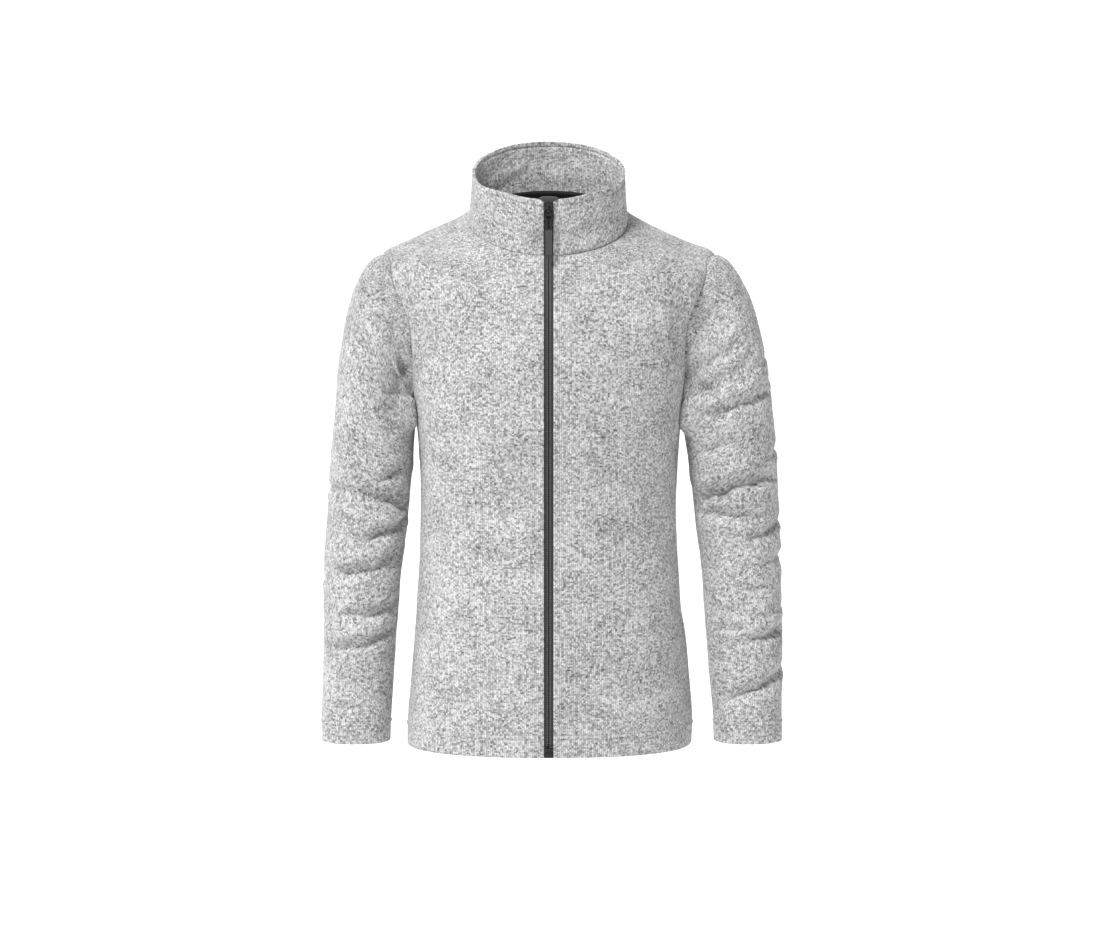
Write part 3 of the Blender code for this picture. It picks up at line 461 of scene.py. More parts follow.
collar = {
    "loops": (    # the same columns
        (-44, -1, 30, 104.0, 74, 53, 2.00),     # neck seam
        (-28, 13, 44, 102.0, 76, 54, 2.00),     # lower collar
        (-8, 31, 64, 100.5, 80, 56, 2.05),      # mid collar
        (28, 59, 95, 99.5, 86, 58, 2.10),       # collar edge
    ),
    "creases": (
        (12, -30, 42, -4, 78, 30, 2.6, 9),
        (7, -36, 8, -10, 9, 12, 1.2, 4),
        (-70, 20, -58, 8, -40, 0, 1.2, 8),
        (150, 60, 170, 52, 196, 58, 1.5, 9),
        (236, 40, 214, 52, 200, 70, 1.6, 8),
    ),
    "mmPerDegree": 1.65,
    "cornerDrop": 3.0, "cornerWidth": 12.0,     # the rim's rounded corners at the zip
    "frontRise": 4.0,                           # and its rise on either side of them
}

bodyCloth = Loft(body["loops"], body["creases"], body["mmPerDegree"])
collarCloth = Loft(collar["loops"], collar["creases"], collar["mmPerDegree"])


def seamAngle(place, scoop):
    # angle of the side seam, the armhole and the shoulder seam, one above the other
    underarm, tip, neck = bodyCloth.places[[body["underarm"], body["tip"], -1]]
    t = np.clip((place - underarm) / (tip - underarm), 0, 1)
    side, top, atNeck = body["sideSeam"], body["armholeTop"], body["shoulderAtNeck"]
    armhole = side + (top - side) * t + scoop * 2 * np.sqrt(t * (1 - t))
    shoulder = top + (atNeck - top) * (place - tip) / (neck - tip)
    return np.where(place > tip, shoulder, armhole)


def armholePull(share, front, distance):
    # how far in the seam pulls both cloths on the lower half of the armhole, by its share of the height
    depth = np.where(front, body["armholePull"], 0.5 * body["armholePull"])
    depth = depth * np.clip(share / 0.05, 0, 1) * np.clip((1.0 - share) / 0.5, 0, 1)
    return depth * bell(distance, body["armholePullWidth"])


def armholeHeight(angle):
    # how far up the armhole, from 0 to 1, the sleeve at this angle is sewn
    fromTop = np.abs((angle + 180) % 360 - 180) / 180
    return 0.5 * (1 + np.cos(np.pi * fromTop)) / 2 + 0.5 * (1 - fromTop)


sleeves = {
    "squareness": 2.15, "cap": 120.0, "turnTop": 51.0, "turnUnderarm": 74.0, "creaseFade": 12.0,
    "mmPerDegree": 0.95, "underarmGap": 0.7,
    "gather": 0.72, "gatherWidth": 7.0,     # how far the mesh closes up beside a sharp fold
    "headFlat": 0.21,                       # how much less the top of the head bows out than the rest
    "headRise": 0.8, "headRiseAt": 12.0, "headRiseWidth": 14.0, "headRiseTurn": 42.0,    # cloth eased into it
    "besideFrom": 14.0, "besideAbove": 20.0,      # where the sleeve starts to lean on the body
    "seam": 0.9, "seamWidth": 1.4,                # how deep the underarm seam lies
    "left": {
        "side": 1,
        "rings": (    # z, centre x, centre y, half width, half depth, rise
            (-232, 229.5, 0, 56.5, 68, 32),       # biceps
            (-306, 239.5, 0, 56.5, 66, 16),       # upper arm
            (-384, 246.0, -1, 55.0, 61, 6),       # elbow
            (-464, 251.5, -6, 52.0, 55, 0),       # forearm
            (-564, 256.5, -14, 49.0, 48, 0),      # mid forearm
            (-644, 259.5, -21, 45.5, 41, 0),      # wrist
            (-683, 260.5, -24, 45.0, 38, 0),      # cuff edge
        ),
        "creases": (
            (56, -115, 78, -142, 102, -166, 3.5, 8),
            (54, -152, 84, -178, 120, -197, 4.5, 9),
            (40, -174, 86, -205, 136, -231, 5.0, 10),
            (14, -225, 68, -236, 124, -264, 3.6, 10),
            (74, -280, 100, -289, 128, -302, 3.0, 9),
            (26, -337, 80, -340, 148, -374, 4.5, 10),
            (124, -146, 148, -188, 166, -228, 5.0, 8),        # the crevice beside the armhole
            (160, -382, 104, -381, 58, -388, 5.0, 9),
            (18, -405, 50, -407, 80, -418, 3.5, 9),
            (-30, -440, 2, -444, 34, -440, 3.0, 9),
            (8, -532, 52, -542, 84, -548, 4.5, 9),
            (12, -583, 70, -610, 122, -626, 4.5, 10),
            (202, -232, 234, -208, 266, -172, 4.0, 11),
            (224, -274, 262, -296, 310, -300, 3.5, 11),
            (190, -366, 238, -348, 296, -350, 5.5, 11),
            (196, -424, 236, -416, 284, -426, 4.0, 10),
            (198, -482, 246, -496, 300, -490, 4.5, 11),
            (200, -560, 244, -566, 296, -556, 3.5, 10),
            (146, -204, 150, -244, 156, -282, -14.0, 15),      # the inner side rests against the body
            (60, -114, 76, -133, 94, -150, 1.2, 2.6),         # fine ones from here on
            (134, -535, 114, -529, 98, -529, 1.6, 6),
            (30, -470, 62, -478, 92, -474, 1.4, 7),
            (88, -352, 112, -356, 138, -366, 1.5, 5),
            (70, -502, 96, -507, 118, -500, 1.2, 6),
        ),
        "folds": (    # from the outer side towards the body, so that the flank is above
            (54, -114, 80, -142, 118, -176, 4.0, 4.0),
            (48, -153, 82, -176, 136, -207, 5.2, 9),
            (40, -177, 72, -196, 112, -213, 3.0, 9),
            (-18, -183, 20, -187, 56, -199, 2.6, 7),
            (-16, -211, 20, -214, 60, -219, 2.4, 7),
            (78, -207, 112, -219, 156, -236, 4.0, 8),
            (6, -227, 64, -236, 146, -270, 4.4, 10),
            (70, -288, 108, -293, 158, -314, 3.0, 9),
            (-24, -303, 20, -308, 64, -323, 4.4, 10),
            (10, -339, 80, -344, 164, -378, 8.5, 13),
            (54, -386, 104, -383, 172, -383, 3.4, 7),
            (-26, -395, 28, -401, 84, -418, 4.8, 9),
            (-30, -440, 20, -443, 76, -451, 3.0, 8),
            (44, -475, 68, -479, 92, -482, 2.2, 7),
            (-28, -507, 30, -513, 92, -521, 2.6, 8),
            (8, -537, 54, -543, 98, -551, 5.8, 10),
            (80, -530, 112, -533, 150, -536, 3.4, 8),
            (98, -581, 120, -577, 142, -574, 2.2, 7),
            (-10, -584, 62, -607, 134, -628, 6.0, 10),
            (186, -236, 236, -210, 280, -176, 3.6, 9),     # hidden side from here on
            (206, -276, 254, -293, 306, -300, 3.2, 9),
            (190, -372, 236, -349, 292, -352, 6.5, 12),
            (200, -426, 240, -415, 288, -428, 3.8, 9),
            (198, -483, 250, -497, 300, -489, 4.4, 10),
            (204, -561, 246, -567, 296, -556, 3.2, 9),
            (222, -612, 256, -606, 290, -611, 2.2, 8),
        ),
    },
    "right": {
        "side": -1,
        "rings": (
            (-232, 224.0, 0, 50.5, 68, 32),
            (-306, 229.5, 0, 52.5, 66, 16),
            (-384, 236.5, -1, 52.5, 61, 6),
            (-464, 243.5, -6, 51.0, 55, 0),
            (-564, 247.5, -14, 47.0, 48, 0),
            (-644, 251.0, -21, 45.5, 41, 0),
            (-683, 252.0, -24, 45.0, 38, 0),
        ),
        "creases": (
            (90, -241, 110, -240, 134, -244, 2.5, 9),
            (46, -116, 86, -157, 118, -190, 2.6, 10),
            (80, -165, 108, -190, 136, -214, 3.0, 9),
            (104, -337, 124, -329, 148, -319, 3.5, 8),
            (4, -353, 86, -357, 166, -378, 4.5, 10),
            (96, -411, 126, -405, 172, -389, 4.5, 9),
            (8, -458, 98, -455, 158, -427, 5.5, 10),
            (60, -507, 104, -514, 176, -495, 4.5, 10),
            (28, -557, 94, -553, 164, -524, 4.0, 9),
            (200, -236, 232, -212, 264, -176, 4.0, 11),
            (222, -268, 262, -290, 312, -298, 3.5, 11),
            (194, -352, 236, -338, 292, -343, 5.5, 11),
            (190, -410, 232, -420, 278, -406, 4.0, 10),
            (200, -468, 245, -482, 306, -472, 4.5, 11),
            (196, -540, 240, -552, 300, -546, 3.5, 10),
            (26, -289, 40, -288, 50, -287, 1.4, 6),           # fine ones from here on
            (146, -204, 150, -240, 156, -276, -13.0, 15),      # the inner side rests against the body
            (52, -634, 70, -634, 84, -637, 1.5, 6),
            (64, -372, 92, -376, 122, -384, 1.6, 6),
            (110, -470, 132, -462, 154, -446, 1.4, 6),
            (74, -600, 98, -604, 124, -596, 1.3, 7),
        ),
        "folds": (
            (132, -198, 90, -155, 50, -118, 5.5, 5.0),     # three that run the other way, the flank below
            (150, -228, 138, -206, 120, -186, 5.0, 5.0),
            (150, -224, 132, -212, 110, -190, 3.2, 4.0),
            (108, -175, 138, -205, 172, -233, 5.0, 8),
            (62, -184, 94, -204, 116, -210, 2.6, 9),
            (92, -218, 132, -226, 188, -237, 5.2, 9),
            (-14, -289, 20, -290, 54, -288, 2.0, 6),
            (94, -339, 118, -333, 148, -315, 4.0, 8),
            (-14, -356, 30, -355, 68, -349, 5.0, 9),
            (76, -354, 120, -365, 168, -381, 7.5, 13),
            (88, -414, 132, -404, 182, -388, 6.6, 10),
            (50, -457, 104, -455, 152, -424, 5.0, 10),
            (-20, -479, 30, -469, 74, -456, 2.8, 8),
            (52, -505, 106, -515, 182, -494, 5.0, 10),
            (16, -553, 90, -556, 168, -524, 5.4, 11),
            (46, -631, 70, -637, 94, -637, 2.2, 7),
            (122, -612, 148, -621, 184, -629, 2.2, 7),
            (182, -240, 232, -214, 276, -180, 3.6, 9),     # hidden side from here on
            (206, -270, 256, -288, 306, -297, 3.2, 9),
            (192, -356, 236, -339, 290, -345, 6.2, 12),
            (194, -412, 232, -420, 282, -405, 4.0, 9),
            (200, -469, 246, -483, 302, -471, 4.6, 10),
            (200, -541, 244, -553, 298, -545, 3.4, 9),
            (214, -604, 250, -611, 288, -606, 2.2, 8),
        ),
    },
}


class SleeveCloth:
    # a sleeve's cloth by angle round it (0 outer, 90 front) and place down it, from -cap at the armhole
    def __init__(self, part):
        self.side = part["side"]
        self.rows = np.array(part["rings"], float)
        self.depths = self.rows[0, 0] - self.rows[:, 0]
        self.creases, self.folds = part["creases"], part["folds"]
        self.turns = np.arange(-180, 181.0)
        start, leave, self.mitres, self.seamNormals = self.leaving(self.turns)
        top = self.ring(self.turns, np.zeros(361))
        down = unitOf(self.ring(self.turns, np.full(361, 2.0)) - top)
        reach = np.linalg.norm(top - start, axis=-1, keepdims=True)
        reach = reach * (1 - sleeves["headFlat"] * ((1 + np.cos(np.radians(self.turns))) / 2)[:, None] ** 2)
        self.headEnds = start, leave * reach, top, down * reach
        head = self.point(self.turns[None], np.linspace(-sleeves["cap"], 0, 31)[:, None], True)
        self.headLengths = (runOf(head)[-1] / sleeves["cap"])[:, None]      # mm of cloth for 1 mm of place

    def around(self, table, angle):
        # values of a table of the whole degrees at any angles
        turn = (angle + 180) % 360 - 180
        return np.stack([np.interp(turn, self.turns, column) for column in table.T], -1)

    def armhole(self, angle):
        underarm, tip = bodyCloth.places[[body["underarm"], body["tip"]]]

        def onBody(turn):
            place = underarm + (tip - underarm) * armholeHeight(turn)
            scoop = np.where(np.sin(np.radians(turn)) > 0, -body["armholeFront"], body["armholeBack"])
            return self.side * seamAngle(place, scoop), place

        seam = bodyCloth.point(*onBody(angle))
        normal = bodyCloth.directions(*onBody(angle))[0]
        run = bodyCloth.point(*onBody(angle + 0.5)) - bodyCloth.point(*onBody(angle - 0.5))
        return seam, normal, self.side * unitOf(np.cross(normal, run))

    def leaving(self, angle):
        # the sleeve's edge, the way it leaves the seam, the mitre of the two cloths and the body's normal
        seam, normal, inward = self.armhole(angle)
        lower = (1 - np.cos(np.radians(angle))) / 2
        top, bottom = sleeves["turnTop"], sleeves["turnUnderarm"]
        turn = np.radians(top + (bottom - top) * lower)[..., None]
        leave = inward * np.cos(turn) + normal * np.sin(turn)
        ownNormal = normal * np.cos(turn) - inward * np.sin(turn)
        slant = np.minimum(np.sum(ownNormal * inward, -1), 0) / (1 + np.sum(ownNormal * normal, -1))
        return seam + inward * cloth["slit"], leave, normal + slant[..., None] * inward, normal

    def ring(self, angle, place):
        z, centreX, centreY, halfWidth, halfDepth, rise = np.moveaxis(
            smoothRows(self.depths, self.rows, place), -1, 0)
        forward, outward = superEllipse(angle, sleeves["squareness"])
        y, height = centreY - halfDepth * forward, z + rise * outward
        x = np.maximum(centreX + halfWidth * outward, self.bodyEdge(y, height))
        return np.stack([self.side * x, y, height], -1)

    def bodyEdge(self, y, z):
        # how far out the sleeve has to stay at a height below the underarm
        loops = smoothRows(bodyCloth.places, bodyCloth.rows,
                           np.linspace(0, bodyCloth.places[body["underarm"]], 120))
        halfWidth, front, back, squareness = (
            np.interp(z, loops[:, 1], loops[:, column]) for column in (3, 4, 5, 6))
        across = np.minimum(np.abs(y) / np.where(y < 0, front, back), 1)
        return halfWidth * (1 - across**squareness) ** (1 / squareness) + sleeves["underarmGap"]

    def point(self, angle, place, plain=False):
        # angle may be a row and place a column; plain leaves the creases and folds out
        start, leave, top, down = (self.around(table, angle) for table in self.headEnds)
        t = np.clip(place / sleeves["cap"] + 1, 0, 1)[..., None]
        head = start * (1 + 2 * t) * (1 - t) ** 2 + leave * t * (1 - t) ** 2
        head = head + top * t * t * (3 - 2 * t) + down * t * t * (t - 1)
        gone = place + sleeves["cap"]
        eased = sleeves["headRise"] * bell(gone - sleeves["headRiseAt"], sleeves["headRiseWidth"])
        turn = (angle + 180) % 360 - 180
        head[..., 2] += eased * np.clip(gone / 7, 0, 1) * bell(turn, sleeves["headRiseTurn"])
        base = np.where((place > 0)[..., None], self.ring(angle, np.maximum(place, 0)), head)
        inward = np.zeros(base.shape[:-1]) if plain else sum(
            lineDepth(lines, profile, sleeves["mmPerDegree"], angle, base[..., 2])
            for lines, profile in ((self.creases, troughProfile), (self.folds, pinchProfile)))
        inward = inward * np.clip(gone / sleeves["creaseFade"], 0, 1)
        x = self.side * base[..., 0] - inward * np.cos(np.radians(angle))
        y = base[..., 1] + inward * np.sin(np.radians(angle))
        height = base[..., 2]
        low = height < bodyCloth.rows[body["underarm"], 1] + sleeves["besideAbove"]
        besideBody = low & (place > sleeves["besideFrom"] - sleeves["cap"])
        x = np.where(besideBody, np.maximum(x, self.bodyEdge(y, height)), x)
        return np.stack([self.side * x, y, height], -1)

    def normal(self, angle, place):
        # out of the cloth before it is creased, so that both faces of the wall fold alike
        around = self.point(angle + 0.5, place, True) - self.point(angle - 0.5, place, True)
        low = np.maximum(place - placeStep, -sleeves["cap"])
        high = np.minimum(place + placeStep, self.depths[-1])
        down = self.point(angle, high, True) - self.point(angle, low, True)
        return self.side * unitOf(np.cross(around, down))


sleeveCloth = {name: SleeveCloth(sleeves[name]) for name in ("left", "right")}


def lumps(points):
    # soft unevenness of the cloth, the same on both sides of a seam
    flat = points.reshape(-1, 3)
    total = np.zeros(len(flat))
    for size, height in cloth["lumps"]:
        total += height * np.array([noise.noise(Vector(p)) for p in flat / size])
    return total.reshape(points.shape[:-1])


def unevenness(face, fromEdge, width=cloth["calmWidth"]):
    # the lumps, calmer near an edge
    return lumps(face) * np.clip(fromEdge / width, cloth["calmShare"], 1)


def mitreShare(distance):
    # 1 at a seam, where a wall's two faces part along the mitre, and 0 away from it
    return np.clip(1 - distance / cloth["mitre"], 0, 1)[..., None]


def roundedDrop(distance, radius):
    # how far an edge of this radius has rolled away at a distance from its end
    inside = np.clip(radius - distance, 0, radius)
    return radius - np.sqrt(radius**2 - inside**2)


def seamDrop(distance):
    # how far the outside lies below the flat cloth beside a seam
    pulled = cloth["seamPull"] * bell(distance, cloth["seamPullWidth"])
    return roundedDrop(distance, cloth["seamRound"]) + pulled


def groove(distance, place):
    # how far a row of stitches at this place draws the cloth in
    return cloth["stitchPull"] * bell(distance - place, cloth["stitchPullWidth"])


def marksOf(length, step, low=(), high=(), inside=()):
    # places from 0 to length: exact ones from either end and inside, and even steps between them
    marks = sorted({0.0, length, *low, *(length - m for m in high), *inside})
    out = [0.0]
    for a, b in zip(marks, marks[1:]):
        count = max(1, round((b - a) / step))
        out += [a + (b - a) * (k + 1) / count for k in range(count)]
    return np.array(out)


def shellObject(name, outer, inner, uv, materials, wraps=False, innerSlot=0):
    # a closed wall between two grids of points in mm, rows by columns; uv has one more column on a tube
    rows, columns = outer.shape[:2]
    count = rows * columns
    index = np.arange(count).reshape(rows, columns)
    right = np.roll(index, -1, axis=1) if wraps else index[:, 1:]
    left = index if wraps else index[:, :-1]
    quads = np.stack([left[:-1], right[:-1], right[1:], left[1:]], -1).reshape(-1, 4)
    uvLeft, uvRight = uv[:, :-1], uv[:, 1:]
    quadUv = np.stack([uvLeft[:-1], uvRight[:-1], uvRight[1:], uvLeft[1:]], -2).reshape(-1, 4, 2)
    faces, uvs = [quads, quads[:, ::-1] + count], [quadUv, quadUv[:, ::-1]]
    for i, turned in ((0, False), (rows - 1, True)):
        strip = np.stack([left[i], left[i] + count, right[i] + count, right[i]], -1)
        stripUv = np.stack([uvLeft[i], uvLeft[i], uvRight[i], uvRight[i]], -2)
        faces.append(strip[:, ::-1] if turned else strip)
        uvs.append(stripUv[:, ::-1] if turned else stripUv)
    if not wraps:
        for j, turned in ((0, True), (columns - 1, False)):
            strip = np.stack([index[:-1, j], index[:-1, j] + count, index[1:, j] + count, index[1:, j]], -1)
            stripUv = np.stack([uv[:-1, j], uv[:-1, j], uv[1:, j], uv[1:, j]], -2)
            faces.append(strip[:, ::-1] if turned else strip)
            uvs.append(stripUv[:, ::-1] if turned else stripUv)
    faces, uvs = np.concatenate(faces), np.concatenate(uvs)
    points = np.concatenate([outer.reshape(-1, 3), inner.reshape(-1, 3)]) * mm
    a, b, c, d = (points[faces[:, k]] for k in range(4))
    volume = np.sum(a * np.cross(b, c)) + np.sum(a * np.cross(c, d))
    if volume < 0:
        faces, uvs = faces[:, ::-1], uvs[:, ::-1]
    mesh = bpy.data.meshes.new(name)
    mesh.from_pydata(points.tolist(), [], faces.tolist())
    layer = mesh.uv_layers.new(name="cloth")
    layer.data.foreach_set("uv", (uvs * mm).reshape(-1).astype(np.float32))
    for material in materials:
        mesh.materials.append(material)
    slots = np.zeros(len(faces), np.int32)
    slots[len(quads):2 * len(quads)] = innerSlot
    mesh.polygons.foreach_set("material_index", slots)
    mesh.polygons.foreach_set("use_smooth", np.ones(len(faces), bool))
    mesh.validate()
    mesh.update()
    made = bpy.data.objects.new(name, mesh)
    bpy.context.scene.collection.objects.link(made)
    return made


def riseOf(grid):
    # how far up each row of points lies, measured square to the rows, so that the knit isn't stretched
    ahead = np.gradient(grid, axis=1)
    ahead = unitOf(ahead[1:] + ahead[:-1])
    steps = np.diff(grid, axis=0)
    square = np.linalg.norm(steps - np.sum(steps * ahead, -1, keepdims=True) * ahead, axis=-1)
    return np.concatenate([np.zeros((1, grid.shape[1])), np.cumsum(square, axis=0)])


def columnAngles(surface, start, end, places, head, tail, count):
    # angles of each row's columns, by distance along the cloth: exact ones at both ends, even between
    share = np.linspace(0, 1, 121)
    dense = start[:, None] + (end - start)[:, None] * share
    length = runOf(surface.point(dense, places[:, None]), 1)
    total = length[:, -1:]
    even = np.linspace(0, 1, count + 1)[None, :]
    middle = head[-1] + (total - head[-1] - tail[-1]) * even
    ends = np.concatenate([np.broadcast_to(head[:-1], (len(places), len(head) - 1)), middle,
                           total - np.array(tail[:-1][::-1])[None, :]], 1)
    angles = np.stack([np.interp(row, have, turn) for row, have, turn in zip(ends, length, dense)])
    return angles, ends, total


def standFor(piece, body, node):
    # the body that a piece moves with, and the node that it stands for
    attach(piece, body)
    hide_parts(node)


def dress(piece, node):
    # what every cloth piece needs besides: the body that it moves with and the node that it stands for
    standFor(piece, "jacket", node)


hem = {
    "rows": (23.5, 29.0), "grooves": (0.5, 0.9),      # two rows of stitching above the edge
    "ridge": 1.1, "ridgeBelow": 2.6, "ridgeWidth": 1.9,      # the fold puffs up below the second row
}
edgeMarks = (0.0, 0.25, 0.55, 0.95, 1.6, 2.8, 4.6)    # where the mesh is finer, beside an edge or a seam
stitchMarks = (-2.0, -1.1, -0.5, 0.0, 0.5, 1.1, 2.0)
hemMarks = [row + m for row in hem["rows"] for m in stitchMarks]
edgeStitch = 9.0                                      # from a front edge to its row of stitches
frontMarks = edgeMarks + (edgeStitch - 0.8, edgeStitch, edgeStitch + 0.8)
armTurns = 180 - 3.0 * np.arange(0, 61)           # the body's rows beside the armhole, in the sleeve's angles


def bodyRows():
    underarm, tip, neck = bodyCloth.places[[body["underarm"], body["tip"], -1]]
    below = marksOf(underarm, cloth["step"], low=edgeMarks, inside=hemMarks)
    armhole = underarm + (tip - underarm) * armholeHeight(armTurns[1:])
    yoke = tip + marksOf(neck - tip, cloth["step"], high=edgeMarks)[1:]
    return np.concatenate([below, armhole, yoke])


def hemDrop(up):
    # the outside near a turned and twice stitched edge
    sewn = sum(share * groove(up, row) for row, share in zip(hem["rows"], hem["grooves"]))
    ridge = hem["ridge"] * bell(up - hem["rows"][1] + hem["ridgeBelow"], hem["ridgeWidth"])
    return roundedDrop(up, cloth["turned"] / 2) + sewn - ridge


def hemThickness(up):
    grown = np.clip((cloth["hemTurn"] + 3 - up) / 3, 0, 1)
    return cloth["thick"] + (cloth["turned"] - cloth["thick"]) * grown - roundedDrop(up, cloth["turned"] / 2)


def neckPull(angle, distance):
    # the neck seam lies deeper on the left side, where the collar leans over it
    side = np.clip((angle - 4) / 14, 0, 1) * np.clip((100 - angle) / 20, 0, 1)
    return body["neckPull"] * side * bell(distance, body["neckPullWidth"])


def bodyPanel(name, node, side):
    # side is +1 or -1 for a front, 0 for the back
    places = bodyRows()
    neck = bodyCloth.places[-1]
    if side:
        start = bodyCloth.angleAt(cloth["zipHalfOpening"], places)
        end = seamAngle(places, -body["armholeFront"])
        head, count = frontMarks, 70
    else:
        start = seamAngle(places, body["armholeBack"])
        end = 360 - start
        head, count = edgeMarks, 136
    angles, along, total = columnAngles(bodyCloth, start, end, places, head, edgeMarks, count)
    up = places[:, None] + 0 * angles
    signed = angles if side >= 0 else -angles
    face = bodyCloth.point(signed, up)
    normal = bodyCloth.directions(signed, up)[0]
    underarm, tip = bodyCloth.places[[body["underarm"], body["tip"]]]
    share = (up - underarm) / (tip - underarm)
    uneven = unevenness(face, np.minimum(along, total - along))
    for distance in [total - along] if side else [along, total - along]:
        face = face - normal * armholePull(share, bool(side), distance)[..., None]
    rolled = roundedDrop(along, cloth["thick"] / 2)
    firstEdge = rolled + groove(along, edgeStitch) if side else seamDrop(along)
    outerDrop = np.maximum(firstEdge, seamDrop(total - along)) + hemDrop(up) + seamDrop(neck - up) - uneven
    outerDrop = outerDrop + neckPull(signed, neck - up)
    innerDrop = hemThickness(up) - (rolled if side else 0) - uneven
    away = unitOf(np.diff(face, axis=1))
    outer, inner = face - normal * outerDrop[..., None], face - normal * innerDrop[..., None]
    for grid in (outer, inner):    # half the slit on each side of a seam, none along the armhole
        sewn = (places <= underarm) | (places >= tip)
        grid[sewn, -1] -= away[sewn, -1] * cloth["slit"] / 2
        if not side:
            grid[sewn, 0] += away[sewn, 0] * cloth["slit"] / 2
    shiftU, shiftV = {1: (0, 0), -1: (613, 74), 0: (-total / 2, 37)}[side]      # so that none mirror
    uv = np.stack([(side or 1) * along + shiftU, riseOf(face) + shiftV], -1)
    dress(shellObject(name, outer, inner, uv, [fleece, fleeceBack], innerSlot=1), node)


bodyPanel("frontLeftCloth", "front_left", 1)
bodyPanel("frontRightCloth", "front_right", -1)
bodyPanel("backCloth", "back", 0)
print("fronts and back made")


def sleevePanel(name, node, part):
    surface = sleeveCloth[part]
    length = surface.depths[-1]
    besideSeam = (178.5, 179.25, 180.75, 181.5)
    angles = np.array(sorted({*np.arange(0, 360, 2.5), *besideSeam}))
    angles = np.roll(angles, len(angles) - int(np.searchsorted(angles, 180.0)))    # from the underarm seam
    head = marksOf(sleeves["cap"], cloth["sleeveStep"], low=edgeMarks) - sleeves["cap"]
    arm = length - marksOf(length, cloth["sleeveStep"], low=edgeMarks, inside=hemMarks)[::-1]
    places = np.concatenate([head[:-1], arm])
    turns, down = np.meshgrid(angles, places)
    # the mesh closes up along the folds, but not beside the armhole or the cuff's stitching
    free = np.clip((down + sleeves["cap"] - 5) / 12, 0, 1) * np.clip((length - 34 - down) / 10, 0, 1)
    height = surface.point(turns, down, True)[..., 2]
    for fold in surface.folds:
        right, over, signed, strength = fromLine(fold, sleeves["mmPerDegree"], turns, height)
        pull = sleeves["gather"] * bell(signed, sleeves["gatherWidth"]) * strength * free
        turns, down = turns - pull * right / sleeves["mmPerDegree"], down + pull * over
        height = height - pull * over
    face, normal = surface.point(turns, down), surface.normal(turns, down)
    mitre = surface.around(surface.mitres, angles)[None]
    gone = down + sleeves["cap"]
    mix = mitreShare(gone)
    through = normal * (1 - mix) + mitre * mix
    left = length - down
    uneven = unevenness(face, gone)
    pulled = armholePull(armholeHeight(angles), np.sin(np.radians(angles)) > 0, gone)
    face = face - surface.around(surface.seamNormals, angles)[None] * pulled[..., None]
    beside = (180 - np.abs((turns + 180) % 360 - 180)) * sleeves["mmPerDegree"]
    seam = sleeves["seam"] * bell(beside, sleeves["seamWidth"])
    outerDrop = seamDrop(gone) + hemDrop(left) + seam - uneven
    innerDrop = hemThickness(left) - uneven
    outer, inner = face - through * outerDrop[..., None], face - through * innerDrop[..., None]
    around = runOf(np.concatenate([face, face[:, :1]], 1), 1)
    u = around - around[:, -1:] / 2
    v = -np.where(down < 0, down * surface.around(surface.headLengths, turns)[..., 0], down)
    uv = np.stack([u, np.concatenate([v, v[:, :1]], 1)], -1)
    piece = shellObject(name, outer, inner, uv, [fleece, fleeceBack], wraps=True, innerSlot=1)
    dress(piece, node)


sleevePanel("sleeveLeftCloth", "sleeve_left", "left")
sleevePanel("sleeveRightCloth", "sleeve_right", "right")
print("sleeves made")


def neckMitre(angle):
    # at the neck seam: the way from the body up to the collar, and the mitre between their cloths
    bodyNormal, _, bodyUp = bodyCloth.directions(angle, np.full(np.shape(angle), bodyCloth.places[-1]))
    collarNormal = collarCloth.directions(angle, np.zeros(np.shape(angle)))[0]
    slant = np.sum(collarNormal * bodyUp, -1) / (1 + np.sum(collarNormal * bodyNormal, -1))
    return bodyUp, bodyNormal + slant[..., None] * bodyUp


tapeThick = 0.9
rim = {
    "round": 2.0, "stitch": 7.5,            # its edge, and its row of stitches below it
    "roll": 1.3, "rollWidth": 2.4,          # the cloth puffs up over the edge
    "pull": 1.5, "pullWidth": 1.5,          # and is drawn in along the stitches
    "crease": 6.0,                          # a faint line this far below them
}


def rimDrop(fromEdge):
    # how far the collar's rim lies below its table's last loop
    corner = collar["cornerDrop"] * np.clip(1 - fromEdge / collar["cornerWidth"], 0, 1) ** 2
    return corner - collar["frontRise"] * bell(fromEdge - 60, 34)


